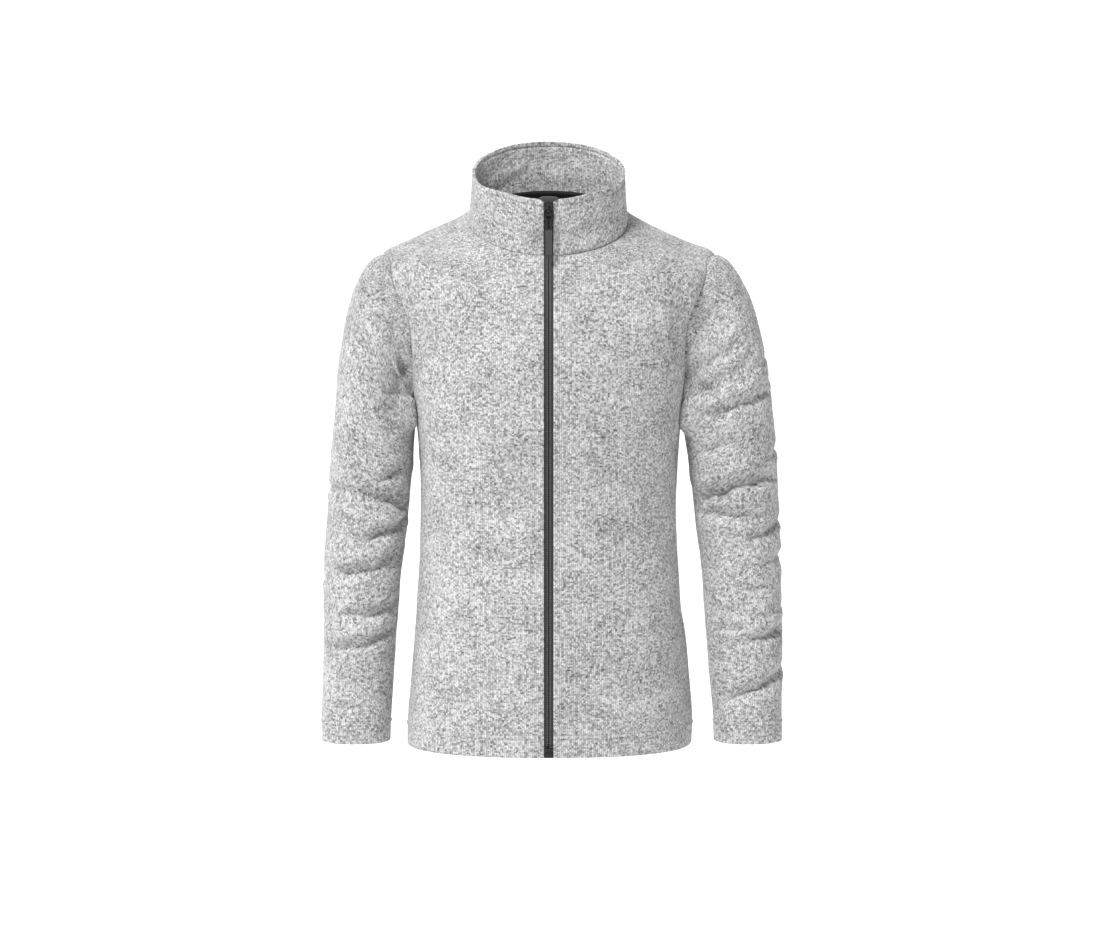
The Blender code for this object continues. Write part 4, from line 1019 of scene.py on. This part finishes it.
def collarLayer(name, node, lining):
    high = collarCloth.places[-1]
    rimMarks = [rim["stitch"] + m for m in stitchMarks] + [13.0, 14.0]
    rows = marksOf(high, 2.5, low=edgeMarks, high=[*edgeMarks, *rimMarks])
    start = collarCloth.angleAt(cloth["zipHalfOpening"], rows)
    angles, along, total = columnAngles(collarCloth, start, 360 - start, rows, frontMarks, frontMarks, 190)
    fromEdge = np.minimum(along, total - along)
    corner = rimDrop(fromEdge)
    up = rows[:, None] * (1 - corner / high)
    face = collarCloth.point(angles, up)
    normal = collarCloth.directions(angles, up)[0]
    gapWay, mitre = neckMitre(angles[0])
    mix = mitreShare(up)
    through = normal * (1 - mix) + mitre[None] * mix
    face = face + gapWay[None] * cloth["slit"] * mix
    uneven = 0.8 * unevenness(face, fromEdge, 10.0)
    fromRim = high * (1 - up / high) - corner
    rimEdge = roundedDrop(fromRim, rim["round"]) + 0.5 * groove(fromRim, rim["stitch"] + rim["crease"])
    rimEdge = rimEdge - rim["roll"] * bell(fromRim - 0.5 * rim["stitch"], rim["rollWidth"])
    rimEdge = rimEdge + rim["pull"] * bell(fromRim - rim["stitch"], rim["pullWidth"])
    edge = roundedDrop(fromEdge, cloth["thick"] / 2)
    if lining:
        overTape = (tapeThick + cloth["seamGap"]) * np.clip((16 - fromEdge) / 3, 0, 1)
        sunk = cloth["thick"] + cloth["seamGap"] + overTape
        outerDrop = sunk + edge - uneven
        innerDrop = sunk + cloth["thick"] - np.maximum(edge, rimEdge) - uneven
    else:
        outerDrop = np.maximum(edge + groove(fromEdge, edgeStitch), rimEdge) + seamDrop(up) - uneven
        outerDrop = outerDrop + neckPull(angles, up)
        innerDrop = cloth["thick"] - edge - uneven
    outer, inner = face - through * outerDrop[..., None], face - through * innerDrop[..., None]
    uv = np.stack([along - total / 2, up], -1)
    dress(shellObject(name, outer, inner, uv, [fleece]), node)


collarLayer("collarOuterCloth", "collar_outer", False)
collarLayer("collarInnerCloth", "collar_inner", True)
print("collar made")


# tape over the neck seam and guard behind the zip's top
neckTape = {"thick": 0.8, "below": 9.5, "above": 2.0}
chinGuard = {"thick": 1.3, "half": 14.0, "height": 30.0, "above": 3.0, "cornerDrop": 3.0}


def makeNeckTape():
    seam, below, above = bodyCloth.places[-1], neckTape["below"], neckTape["above"]
    angles = np.linspace(body["shoulderAtNeck"] + 2, 358 - body["shoulderAtNeck"], 121)
    overBody = cloth["thick"] + 3 * cloth["seamGap"]
    overCollar = 2 * cloth["thick"] + 4 * cloth["seamGap"]
    across = marksOf(below + above, 1.3, low=(0.4,), high=(0.4,)) - below
    mitre = neckMitre(angles)[1]
    outer, inner = [], []
    for s in across:
        if s < 0:
            point, own = bodyCloth.point(angles, seam + s), bodyCloth.directions(angles, seam + s)[0]
        else:
            point, own = collarCloth.point(angles, s), collarCloth.directions(angles, s)[0]
        mix = mitreShare(abs(s))
        way = own * (1 - mix) + mitre * mix
        depth = overBody + (overCollar - overBody) * np.clip(1 + s / below, 0, 1)
        ease = 0.15 * roundedDrop(min(s + below, above - s), 0.4)
        outer.append(point - way * (depth + ease))
        inner.append(point - way * (depth + neckTape["thick"] - ease))
    outer, inner = np.array(outer), np.array(inner)
    uv = np.stack(np.broadcast_arrays(runOf(outer[0])[None, :], across[:, None]), -1)
    piece = shellObject("neckTapeCloth", outer, inner, uv, [tapeCloth])
    dress(piece, "neck_tape")


def makeChinGuard():
    top = collarCloth.places[-1]
    half, ends = chinGuard["half"], (0.3, 0.7)
    up = marksOf(chinGuard["height"] + chinGuard["above"], 1.5, low=ends, high=ends)
    across = marksOf(2 * half, 1.2, low=ends, high=ends) - half
    place = top - chinGuard["height"] + up[:, None] + 0 * across
    corner = chinGuard["cornerDrop"] * np.clip(np.abs(across) / half, 0, 1) ** 4
    place = place - corner * (up[:, None] / up[-1])
    angles = collarCloth.angleAt(across[None, :] + 0 * place, place)
    depth = 2 * cloth["thick"] + tapeThick + 4 * cloth["seamGap"]
    point, way = collarCloth.point(angles, place), collarCloth.directions(angles, place)[0]
    edge = np.minimum(np.minimum(up[:, None], up[-1] - up[:, None]), half - np.abs(across)[None, :])
    drop = roundedDrop(edge, chinGuard["thick"] / 2)
    outer = point - way * (depth + drop)[..., None]
    inner = point - way * (depth + chinGuard["thick"] - drop)[..., None]
    uv = np.stack([across[None, :] + 0 * place, up[:, None] + 0 * place], -1)
    piece = shellObject("chinGuardCloth", outer, inner, uv, [tricot])
    dress(piece, "chin_guard")


makeNeckTape()
makeChinGuard()
print("neck tape and chin guard made")


# zip: tapes, coil, slider, pull, retainer box
zipRun = {
    "tape": 0.9, "tapeWidth": 14.5, "tapeTop": 1.5, "coilTop": 3.0, "foot": 14.6,
    "fromMiddle": 0.3, "turned": 0.35,              # where a tape's edge lies, and how far it rolls back
    "rib": 0.22, "ribPitch": 1.7, "ribsEnd": 6.5,
    "coilThick": 1.6, "coilPitch": 1.4, "loop": (1.35, 0.62, 1.05), "loopFromMiddle": 1.15,
}


def frontStrip(xs, depth, places):
    # points up the middle of the front at distances xs from the middle; depth is one for each x
    seam = bodyCloth.places[-1]
    rows = []
    for surface, own in ((bodyCloth, places[places <= seam]), (collarCloth, places[places > seam] - seam)):
        grid = own[:, None] + 0 * np.asarray(xs)
        angles = surface.angleAt(np.asarray(xs) + 0 * grid, grid)
        rows.append(surface.point(angles, grid)
                    - surface.directions(angles, grid)[0] * np.asarray(depth)[:, None])
    return np.concatenate(rows)


def zipPlaces(step, topGap):
    total = bodyCloth.places[-1] + collarCloth.places[-1] - topGap
    return np.linspace(zipRun["foot"], total, int((total - zipRun["foot"]) / step) + 1)


def makeTape(name, node, side):
    places = zipPlaces(5.0, zipRun["tapeTop"])
    first, width = zipRun["fromMiddle"], zipRun["tapeWidth"]
    xs = np.concatenate([[first, first + 0.15, first + 0.4], np.arange(1.0, width, 0.425), [width]])
    ribs = zipRun["rib"] * (0.5 - 0.5 * np.cos(2 * np.pi * (xs - first) / zipRun["ribPitch"]))
    ribs = np.where(xs > zipRun["ribsEnd"], 0, ribs)
    turned = zipRun["turned"] * np.clip(1 - (xs - first) / 0.5, 0, 1)
    depth = cloth["thick"] + cloth["seamGap"]
    outer = frontStrip(side * xs, depth + zipRun["rib"] - ribs + turned, places)
    inner = frontStrip(side * xs, np.full(len(xs), depth + zipRun["tape"]), places)
    uv = np.stack(np.broadcast_arrays(xs[None, :], places[:, None]), -1)
    piece = shellObject(name, outer, inner, uv, [zipTape])
    dress(piece, node)


def copiesAlong(name, unitMesh, frames, materials):
    # one mesh with a copy of unitMesh at each frame, an origin and rows of x, y and z
    points = np.zeros(len(unitMesh.vertices) * 3)
    unitMesh.vertices.foreach_get("co", points)
    points = points.reshape(-1, 3)
    faces = [tuple(face.vertices) for face in unitMesh.polygons]
    allPoints, allFaces = [], []
    for count, (origin, axes) in enumerate(frames):
        allPoints.append(points @ axes + origin)
        allFaces += [[i + count * len(points) for i in face] for face in faces]
    mesh = bpy.data.meshes.new(name)
    mesh.from_pydata(np.concatenate(allPoints).tolist(), [], allFaces)
    for material in materials:
        mesh.materials.append(material)
    mesh.polygons.foreach_set("use_smooth", np.ones(len(allFaces), bool))
    mesh.update()
    made = bpy.data.objects.new(name, mesh)
    bpy.context.scene.collection.objects.link(made)
    return made


def deselectAll():
    bpy.ops.object.select_all(action="DESELECT")


def startPiece(name, size, material):
    # a cube of this size in mm at the origin, alone selected
    deselectAll()
    bpy.ops.mesh.primitive_cube_add(size=1.0, location=(0, 0, 0))
    piece = bpy.context.active_object
    piece.name = name
    piece.data.transform(Matrix.Diagonal([s * mm for s in size] + [1.0]))
    piece.data.materials.append(material)
    return piece


def shiftMesh(piece, x=0.0, y=0.0, z=0.0):
    piece.data.transform(Matrix.Translation((x * mm, y * mm, z * mm)))


def cutIntoGrid(cuts):
    # into edit mode, with every face of the active piece cut into a grid
    bpy.ops.object.mode_set(mode="EDIT")
    bpy.ops.mesh.select_all(action="SELECT")
    bpy.ops.mesh.subdivide(number_cuts=cuts)


def pickVerts(piece, test):
    # in edit mode, selects the vertices whose place in mm passes the test
    bpy.ops.mesh.select_mode(type="VERT")
    bpy.ops.mesh.select_all(action="DESELECT")
    shape = bmesh.from_edit_mesh(piece.data)
    for vert in shape.verts:
        vert.select = bool(test(vert.co / mm))
    shape.select_flush(True)
    bmesh.update_edit_mesh(piece.data)


def applyModifier(piece, kind, settings):
    deselectAll()
    piece.select_set(True)
    bpy.context.view_layer.objects.active = piece
    made = piece.modifiers.new(kind.lower(), kind)
    for name, value in settings.items():
        setattr(made, name, value)
    bpy.ops.object.modifier_apply(modifier=made.name)


def bevelEdges(piece, width, segments=2):
    # only where two faces meet at an angle
    applyModifier(piece, "BEVEL", {"width": width * mm, "segments": segments, "limit_method": "ANGLE"})


def finishPiece(piece, place, body, node, sharpFrom=40):
    # smooth between its edges, and moved to its place on the jacket
    piece.data.shade_smooth()
    piece.data.set_sharp_from_angle(angle=math.radians(sharpFrom))
    piece.data.transform(place)
    standFor(piece, body, node)


def makeCoil():
    # one bent wire loop, copied up both sides of the middle
    deselectAll()
    bpy.ops.mesh.primitive_torus_add(major_radius=1.0, minor_radius=0.4, major_segments=9, minor_segments=4)
    loop = bpy.context.active_object
    loop.data.transform(Matrix.Diagonal([s * mm for s in zipRun["loop"]] + [1.0]))
    depth = cloth["thick"] + 2 * cloth["seamGap"] + zipRun["tape"] + zipRun["coilThick"] / 2
    frames = []
    for side in (-1, 1):
        places = zipPlaces(zipRun["coilPitch"], zipRun["coilTop"]) + side * zipRun["coilPitch"] / 4
        middle = frontStrip([side * zipRun["loopFromMiddle"]], [depth], places)[:, 0] * mm
        way = unitOf(np.gradient(middle, axis=0))
        out = unitOf(np.cross(np.array([1.0, 0, 0]), way))
        frames += list(zip(middle, np.stack([np.cross(way, out), out, way], 1)))
    piece = copiesAlong("zipCoilLoops", loop.data, frames, [coilNylon])
    bpy.data.objects.remove(loop, do_unlink=True)
    standFor(piece, "jacket", "zip_coil")


makeTape("zipTapeLeftCloth", "zip_tape_left", 1)
makeTape("zipTapeRightCloth", "zip_tape_right", -1)
makeCoil()
print("zip tapes and coil made")


slider = {
    "length": 19.0, "width": 12.4, "plate": 1.45, "fromRim": 11.5, "above": 0.5,
    "shares": (0.62, 1.0, 1.0, 0.97, 0.9, 0.84, 0.74),      # of the width, from the top down
    "panelHalf": (4.6, 7.5), "crown": 0.28, "ledge": 0.35,   # raised face inside a lower edge
    "core": 2.1, "coreWidth": 8.4, "coreShorter": 3.0,
    "bridgeLength": 10.0, "bridgeWidth": 3.4, "bridgeTop": 5.8, "bridgeThick": 1.2, "bridgeSunk": 0.4,
}
pull = {
    "along": -1.5, "above": 3.3, "length": 56.0, "width": 9.6, "thick": 1.5,
    "link": 24.0, "eyeEnd": 8.4, "bar": 1.9, "footShare": 0.9,
    "slotHalf": 1.1, "slotBelowEye": 2.2, "slotAboveFoot": 3.4,
    "inset": 0.2, "gap": 0.3,                               # the rubber tab beside the link
    "waist": 0.93, "waistReach": 0.28, "panelHalf": 3.0, "panelReach": 0.36, "panelShare": 0.72,
}
retainer = {"width": 12.6, "depth": 5.8, "height": 14.0, "recess": 0.6, "foot": 0.3, "dent": 0.35}


def onFront(fromRim):
    # frame on the middle of the collar's front: X left, Y up the cloth, Z out of it, in metres
    place = collarCloth.places[-1] - fromRim
    plain = Loft(collar["loops"], (), collar["mmPerDegree"])
    origin = plain.point(0.0, place)
    out, left, up = plain.directions(0.0, place)
    made = Matrix.Identity(4)
    for column, axis in enumerate((left, up, out)):
        for row in range(3):
            made[row][column] = axis[row]
    made.translation = Vector(origin) * mm
    return made


sliderFrame = onFront(slider["fromRim"])


def makeSlider():
    # shield-shaped face plate, arched bridge, and the core between the fronts
    above, thick, halfX, halfY = slider["above"], slider["plate"], *slider["panelHalf"]
    plate = startPiece("zipSliderBody", (slider["width"], slider["length"], thick), enamel)
    cutIntoGrid(5)
    for k, share in enumerate(slider["shares"]):
        at = slider["length"] / 2 - k * slider["length"] / 6
        pickVerts(plate, lambda co: abs(co.y - at) < 0.3)
        bpy.ops.transform.resize(value=(share, 1, 1), center_override=(0, 0, 0))
    pickVerts(plate, lambda co: co.z > 0.5 and abs(co.x) < halfX and abs(co.y) < halfY)
    bpy.ops.transform.translate(value=(0, 0, slider["crown"] * mm))
    pickVerts(plate, lambda co: co.z < -0.3 and abs(co.x) > halfX and abs(co.y) < halfY)
    bpy.ops.transform.translate(value=(0, 0, -slider["ledge"] * mm))
    bpy.ops.object.mode_set(mode="OBJECT")
    bevelEdges(plate, 0.32)
    applyModifier(plate, "SUBSURF", {"levels": 1, "render_levels": 1})
    shiftMesh(plate, z=above + thick / 2)

    size = (slider["coreWidth"], slider["length"] - slider["coreShorter"], slider["core"] + above)
    core = startPiece("sliderCore", size, enamel)
    shiftMesh(core, z=(above - slider["core"]) / 2)
    applyModifier(core, "BEVEL", {"width": 0.5 * mm, "segments": 2})

    # the bridge: a flat bar's section turned through half a circle
    top, rise = slider["bridgeTop"], slider["bridgeTop"] - above - thick + slider["bridgeSunk"]
    bridge = startPiece("sliderBridge", (slider["bridgeWidth"], slider["bridgeThick"], 0.2), enamel)
    shiftMesh(bridge, y=(slider["bridgeLength"] - slider["bridgeThick"]) / 2)
    bpy.ops.object.mode_set(mode="EDIT")
    bpy.ops.mesh.select_all(action="DESELECT")
    bpy.ops.mesh.select_mode(type="FACE")
    shape = bmesh.from_edit_mesh(bridge.data)
    max(shape.faces, key=lambda face: face.calc_center_median().z).select = True
    bmesh.update_edit_mesh(bridge.data)
    bpy.ops.mesh.spin(steps=16, angle=math.pi, center=(0, 0, 0.1 * mm), axis=(1, 0, 0), dupli=False)
    bpy.ops.object.mode_set(mode="OBJECT")
    if min(v.co.z for v in bridge.data.vertices) < -1.0 * mm:      # it turned the other way
        bridge.data.transform(Matrix.Diagonal((1, 1, -1, 1)))
        bridge.data.flip_normals()
    reach = max(abs(v.co.z) for v in bridge.data.vertices)
    bridge.data.transform(Matrix.Diagonal((1, 1, rise * mm / reach, 1)))
    shiftMesh(bridge, z=top - rise)
    bevelEdges(bridge, 0.35)
    deselectAll()
    for piece in (core, bridge, plate):
        piece.select_set(True)
    bpy.context.view_layer.objects.active = plate
    bpy.ops.object.join()
    finishPiece(plate, sliderFrame, "jacket", "zip_slider")


pullFrame = Matrix.Translation(sliderFrame @ Vector((0, pull["along"] * mm, pull["above"] * mm)))


def makeLink():
    # a cast frame that hangs on the bridge, with its eye and a long narrow slot below
    width, thick, length, eyeEnd = pull["width"], pull["thick"], pull["link"], pull["eyeEnd"]
    link = startPiece("pullLinkCast", (width, thick, length + thick / 2), enamel)
    shiftMesh(link, z=(thick / 2 - length) / 2)
    cutIntoGrid(6)
    pickVerts(link, lambda co: co.z < -20)
    bpy.ops.transform.resize(value=(pull["footShare"], 1, 1), center_override=(0, 0, 0))
    bpy.ops.object.mode_set(mode="OBJECT")
    holes = (    # name, half width, top, foot
        ("eye", width / 2 - pull["bar"], -thick / 2, -eyeEnd),
        ("slot", pull["slotHalf"], -eyeEnd - pull["slotBelowEye"], -length + pull["slotAboveFoot"]),
    )
    for name, halfWide, high, low in holes:
        cutter = startPiece(name, (2 * halfWide, 4 * thick, high - low), enamel)
        shiftMesh(cutter, z=(high + low) / 2)
        applyModifier(cutter, "BEVEL", {"width": 0.7 * mm, "segments": 3})
        applyModifier(link, "BOOLEAN", {"operation": "DIFFERENCE", "object": cutter})
        bpy.data.objects.remove(cutter, do_unlink=True)
    bevelEdges(link, 0.3)
    finishPiece(link, pullFrame, "zip_pull", "pull_link")


def makeTab():
    # a rubber grip moulded over the link's foot: waisted, with a sunk panel on both faces
    high = pull["length"] - pull["link"] - pull["gap"]
    middle = -(pull["length"] - high / 2)
    tab = startPiece("pullTabGrip", (pull["width"] - 2 * pull["inset"], pull["thick"], high), rubber)
    shiftMesh(tab, z=middle)
    cutIntoGrid(9)
    pickVerts(tab, lambda co: abs(co.z - middle) < high * pull["waistReach"])
    bpy.ops.transform.resize(value=(pull["waist"], 1, 1), center_override=(0, 0, 0))
    pickVerts(tab, lambda co: abs(co.x) < pull["panelHalf"] and abs(co.y) > 0.7
              and abs(co.z - middle) < high * pull["panelReach"])
    bpy.ops.transform.resize(value=(1, pull["panelShare"], 1), center_override=(0, 0, 0))
    bpy.ops.object.mode_set(mode="OBJECT")
    bevelEdges(tab, 0.4, 3)
    finishPiece(tab, pullFrame, "zip_pull", "pull_tab", 45)


def makeRetainer():
    # the box at the hem that takes the pin
    width, deep, high, foot = (retainer[name] for name in ("width", "depth", "height", "foot"))
    box = startPiece("zipRetainerBox", (width, deep, high - foot), enamel)
    cutIntoGrid(6)
    pickVerts(box, lambda co: co.y < -2 and abs(co.z - 2.0) < 1.2)
    bpy.ops.transform.translate(value=(0, retainer["dent"] * mm, 0))
    bpy.ops.object.mode_set(mode="OBJECT")
    bevelEdges(box, 0.35)
    hemFront = Vector(bodyCloth.point(0.0, 0.0)) * mm
    lift = Vector((0, (retainer["recess"] + deep / 2) * mm, (foot + high) / 2 * mm))
    finishPiece(box, Matrix.Translation(hemFront + lift), "jacket", "zip_box")


makeSlider()
makeLink()
makeTab()
makeRetainer()
print("slider, pull and retainer made")


sewing = {
    "pitch": 3.1, "stitch": 2.4, "thread": 0.5,
    "sunk": 0.35, "rimSunk": 1.4,           # how far the rows lie in the cloth
    "coilRow": 2.0, "coilTop": 34.0,        # the rows that hold the coil, as far up as the slider
}


def sewLines(name, lines, material=thread):
    # lines are pairs of points and outward directions in mm, each a row of stitches
    deselectAll()
    bpy.ops.mesh.primitive_uv_sphere_add(segments=5, ring_count=4, radius=0.5)
    stitch = bpy.context.active_object      # a short thread with tapered ends, along its own X
    stitch.data.transform(Matrix.Rotation(math.pi / 2, 4, "Y"))
    stitch.data.transform(Matrix.Diagonal([sewing[k] * mm for k in ("stitch", "thread", "thread")] + [1.0]))
    frames = []
    for points, outs in lines:
        run = runOf(points)
        places = np.arange(sewing["pitch"] / 2, run[-1], sewing["pitch"])
        at, ahead, out = (
            np.stack([np.interp(where, run, column) for column in table.T], -1)
            for where, table in ((places, points), (places + 1.0, points), (places, outs)))
        way = unitOf(ahead - at + 1e-9)
        side = unitOf(np.cross(unitOf(out), way))
        frames += list(zip(at * mm, np.stack([way, side, np.cross(way, side)], 1)))
    piece = copiesAlong(name, stitch.data, frames, [material])
    bpy.data.objects.remove(stitch, do_unlink=True)
    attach(piece, "jacket")


def onCloth(surface, angles, places, sunk=sewing["sunk"]):
    # a row of places on the cloth, and the way out of it
    face, out = surface.point(angles, places), surface.directions(angles, places)[0]
    return face + out * (lumps(face) - sunk)[:, None], out


def makeStitching():
    lines = []
    for up in hem["rows"]:
        first = float(bodyCloth.angleAt(10.5, up))
        lines.append(onCloth(bodyCloth, np.linspace(first, 360 - first, 500), np.full(500, up)))
    seam, rimRow = bodyCloth.places[-1], collarCloth.places[-1] - rim["stitch"]
    for side in (-1, 1):
        for surface, places in ((bodyCloth, np.linspace(3, seam - 1, 400)),
                                (collarCloth, np.linspace(1, rimRow - 1, 60))):
            angles = side * surface.angleAt(cloth["zipHalfOpening"] + edgeStitch + 0 * places, places)
            lines.append(onCloth(surface, angles, places))
    first = float(collarCloth.angleAt(14.4, rimRow))
    turns = np.linspace(first, 360 - first, 400)
    run = runOf(collarCloth.point(turns, np.full(400, rimRow)))
    up = rimRow - rimDrop(8.3 + np.minimum(run, run[-1] - run))
    lines.append(onCloth(collarCloth, turns, up, sewing["rimSunk"]))
    inside = 2 * cloth["thick"] + cloth["seamGap"] - sewing["rimSunk"]
    face, out = onCloth(collarCloth, turns, up, inside)
    lines.append((face, -out))
    sewLines("bodyStitching", lines)

    lines = []
    turns = np.linspace(0, 360, 241)
    for surface in sleeveCloth.values():
        for up in hem["rows"]:
            down = np.full(241, surface.depths[-1] - up)
            face, out = surface.point(turns, down), surface.normal(turns, down)
            lines.append((face + out * (lumps(face) - sewing["sunk"])[:, None], out))
    sewLines("cuffStitching", lines)

    lines = []
    depth, places = cloth["thick"] + cloth["seamGap"], zipPlaces(1.6, sewing["coilTop"])
    for side in (-1, 1):
        line = frontStrip([side * sewing["coilRow"]], [depth], places)[:, 0]
        lines.append((line, np.broadcast_to((0.0, -1.0, 0.0), line.shape)))
    sewLines("zipStitching", lines, coilThread)


makeStitching()
print("stitching made")


# floor, light and camera
studio = {
    "floorZ": -1.45, "floorSize": 400.0, "floor": "#f6f6f6", "world": 0.20,
    "lens": 151.6, "eye": (0.0017, -6.0, 0.42), "aim": (0.0017, 0, -0.331),      # metres
    "suns": (    # name, azimuth (0 front, + the wearer's left), elevation, strength, size in degrees
        ("keySoftbox", -38, 52, 3.35, 16),
        ("sideSoftbox", -78, 28, 1.0, 30),
        ("fillSoftbox", 52, 26, 0.5, 34),
        ("backSoftbox", 178, 30, 1.6, 40),
    ),
}


def makeStudio():
    deselectAll()
    bpy.ops.mesh.primitive_plane_add(size=studio["floorSize"], location=(0, 0, studio["floorZ"]))
    floor = bpy.context.active_object
    floor.name = "studioFloor"
    floor.data.materials.append(newMaterial("paleFloor", {
        "Base Color": fromHex(studio["floor"]), "Roughness": 0.9, "Specular IOR Level": 0.1}))
    world = bpy.data.worlds.new("studioWorld")
    world.use_nodes = True
    background = world.node_tree.nodes["Background"]
    background.inputs[0].default_value = (1.0, 1.0, 1.0, 1.0)
    background.inputs[1].default_value = studio["world"]
    bpy.context.scene.world = world
    for name, azimuth, elevation, strength, size in studio["suns"]:
        data = bpy.data.lights.new(name, "SUN")
        data.energy, data.angle = strength, math.radians(size)
        lamp = bpy.data.objects.new(name, data)
        flat, side = math.radians(elevation), math.radians(azimuth)
        place = Vector((math.cos(flat) * math.sin(side), -math.cos(flat) * math.cos(side), math.sin(flat)))
        lamp.rotation_euler = place.to_track_quat("Z", "Y").to_euler()
        lamp.location = place * 4
        bpy.context.scene.collection.objects.link(lamp)
    bpy.context.scene.view_settings.view_transform = "Standard"


def makeCamera():
    # straight in front, a little above, seen with a long lens
    data = bpy.data.cameras.new("camera")
    data.lens, data.sensor_width = studio["lens"], 36.0
    camera = bpy.data.objects.new("camera", data)
    camera.location = studio["eye"]
    aim = Vector(studio["aim"]) - camera.location
    camera.rotation_euler = aim.to_track_quat("-Z", "Y").to_euler()
    bpy.context.scene.collection.objects.link(camera)
    bpy.context.scene.camera = camera


makeStudio()
makeCamera()
deselectAll()
print("studio made")
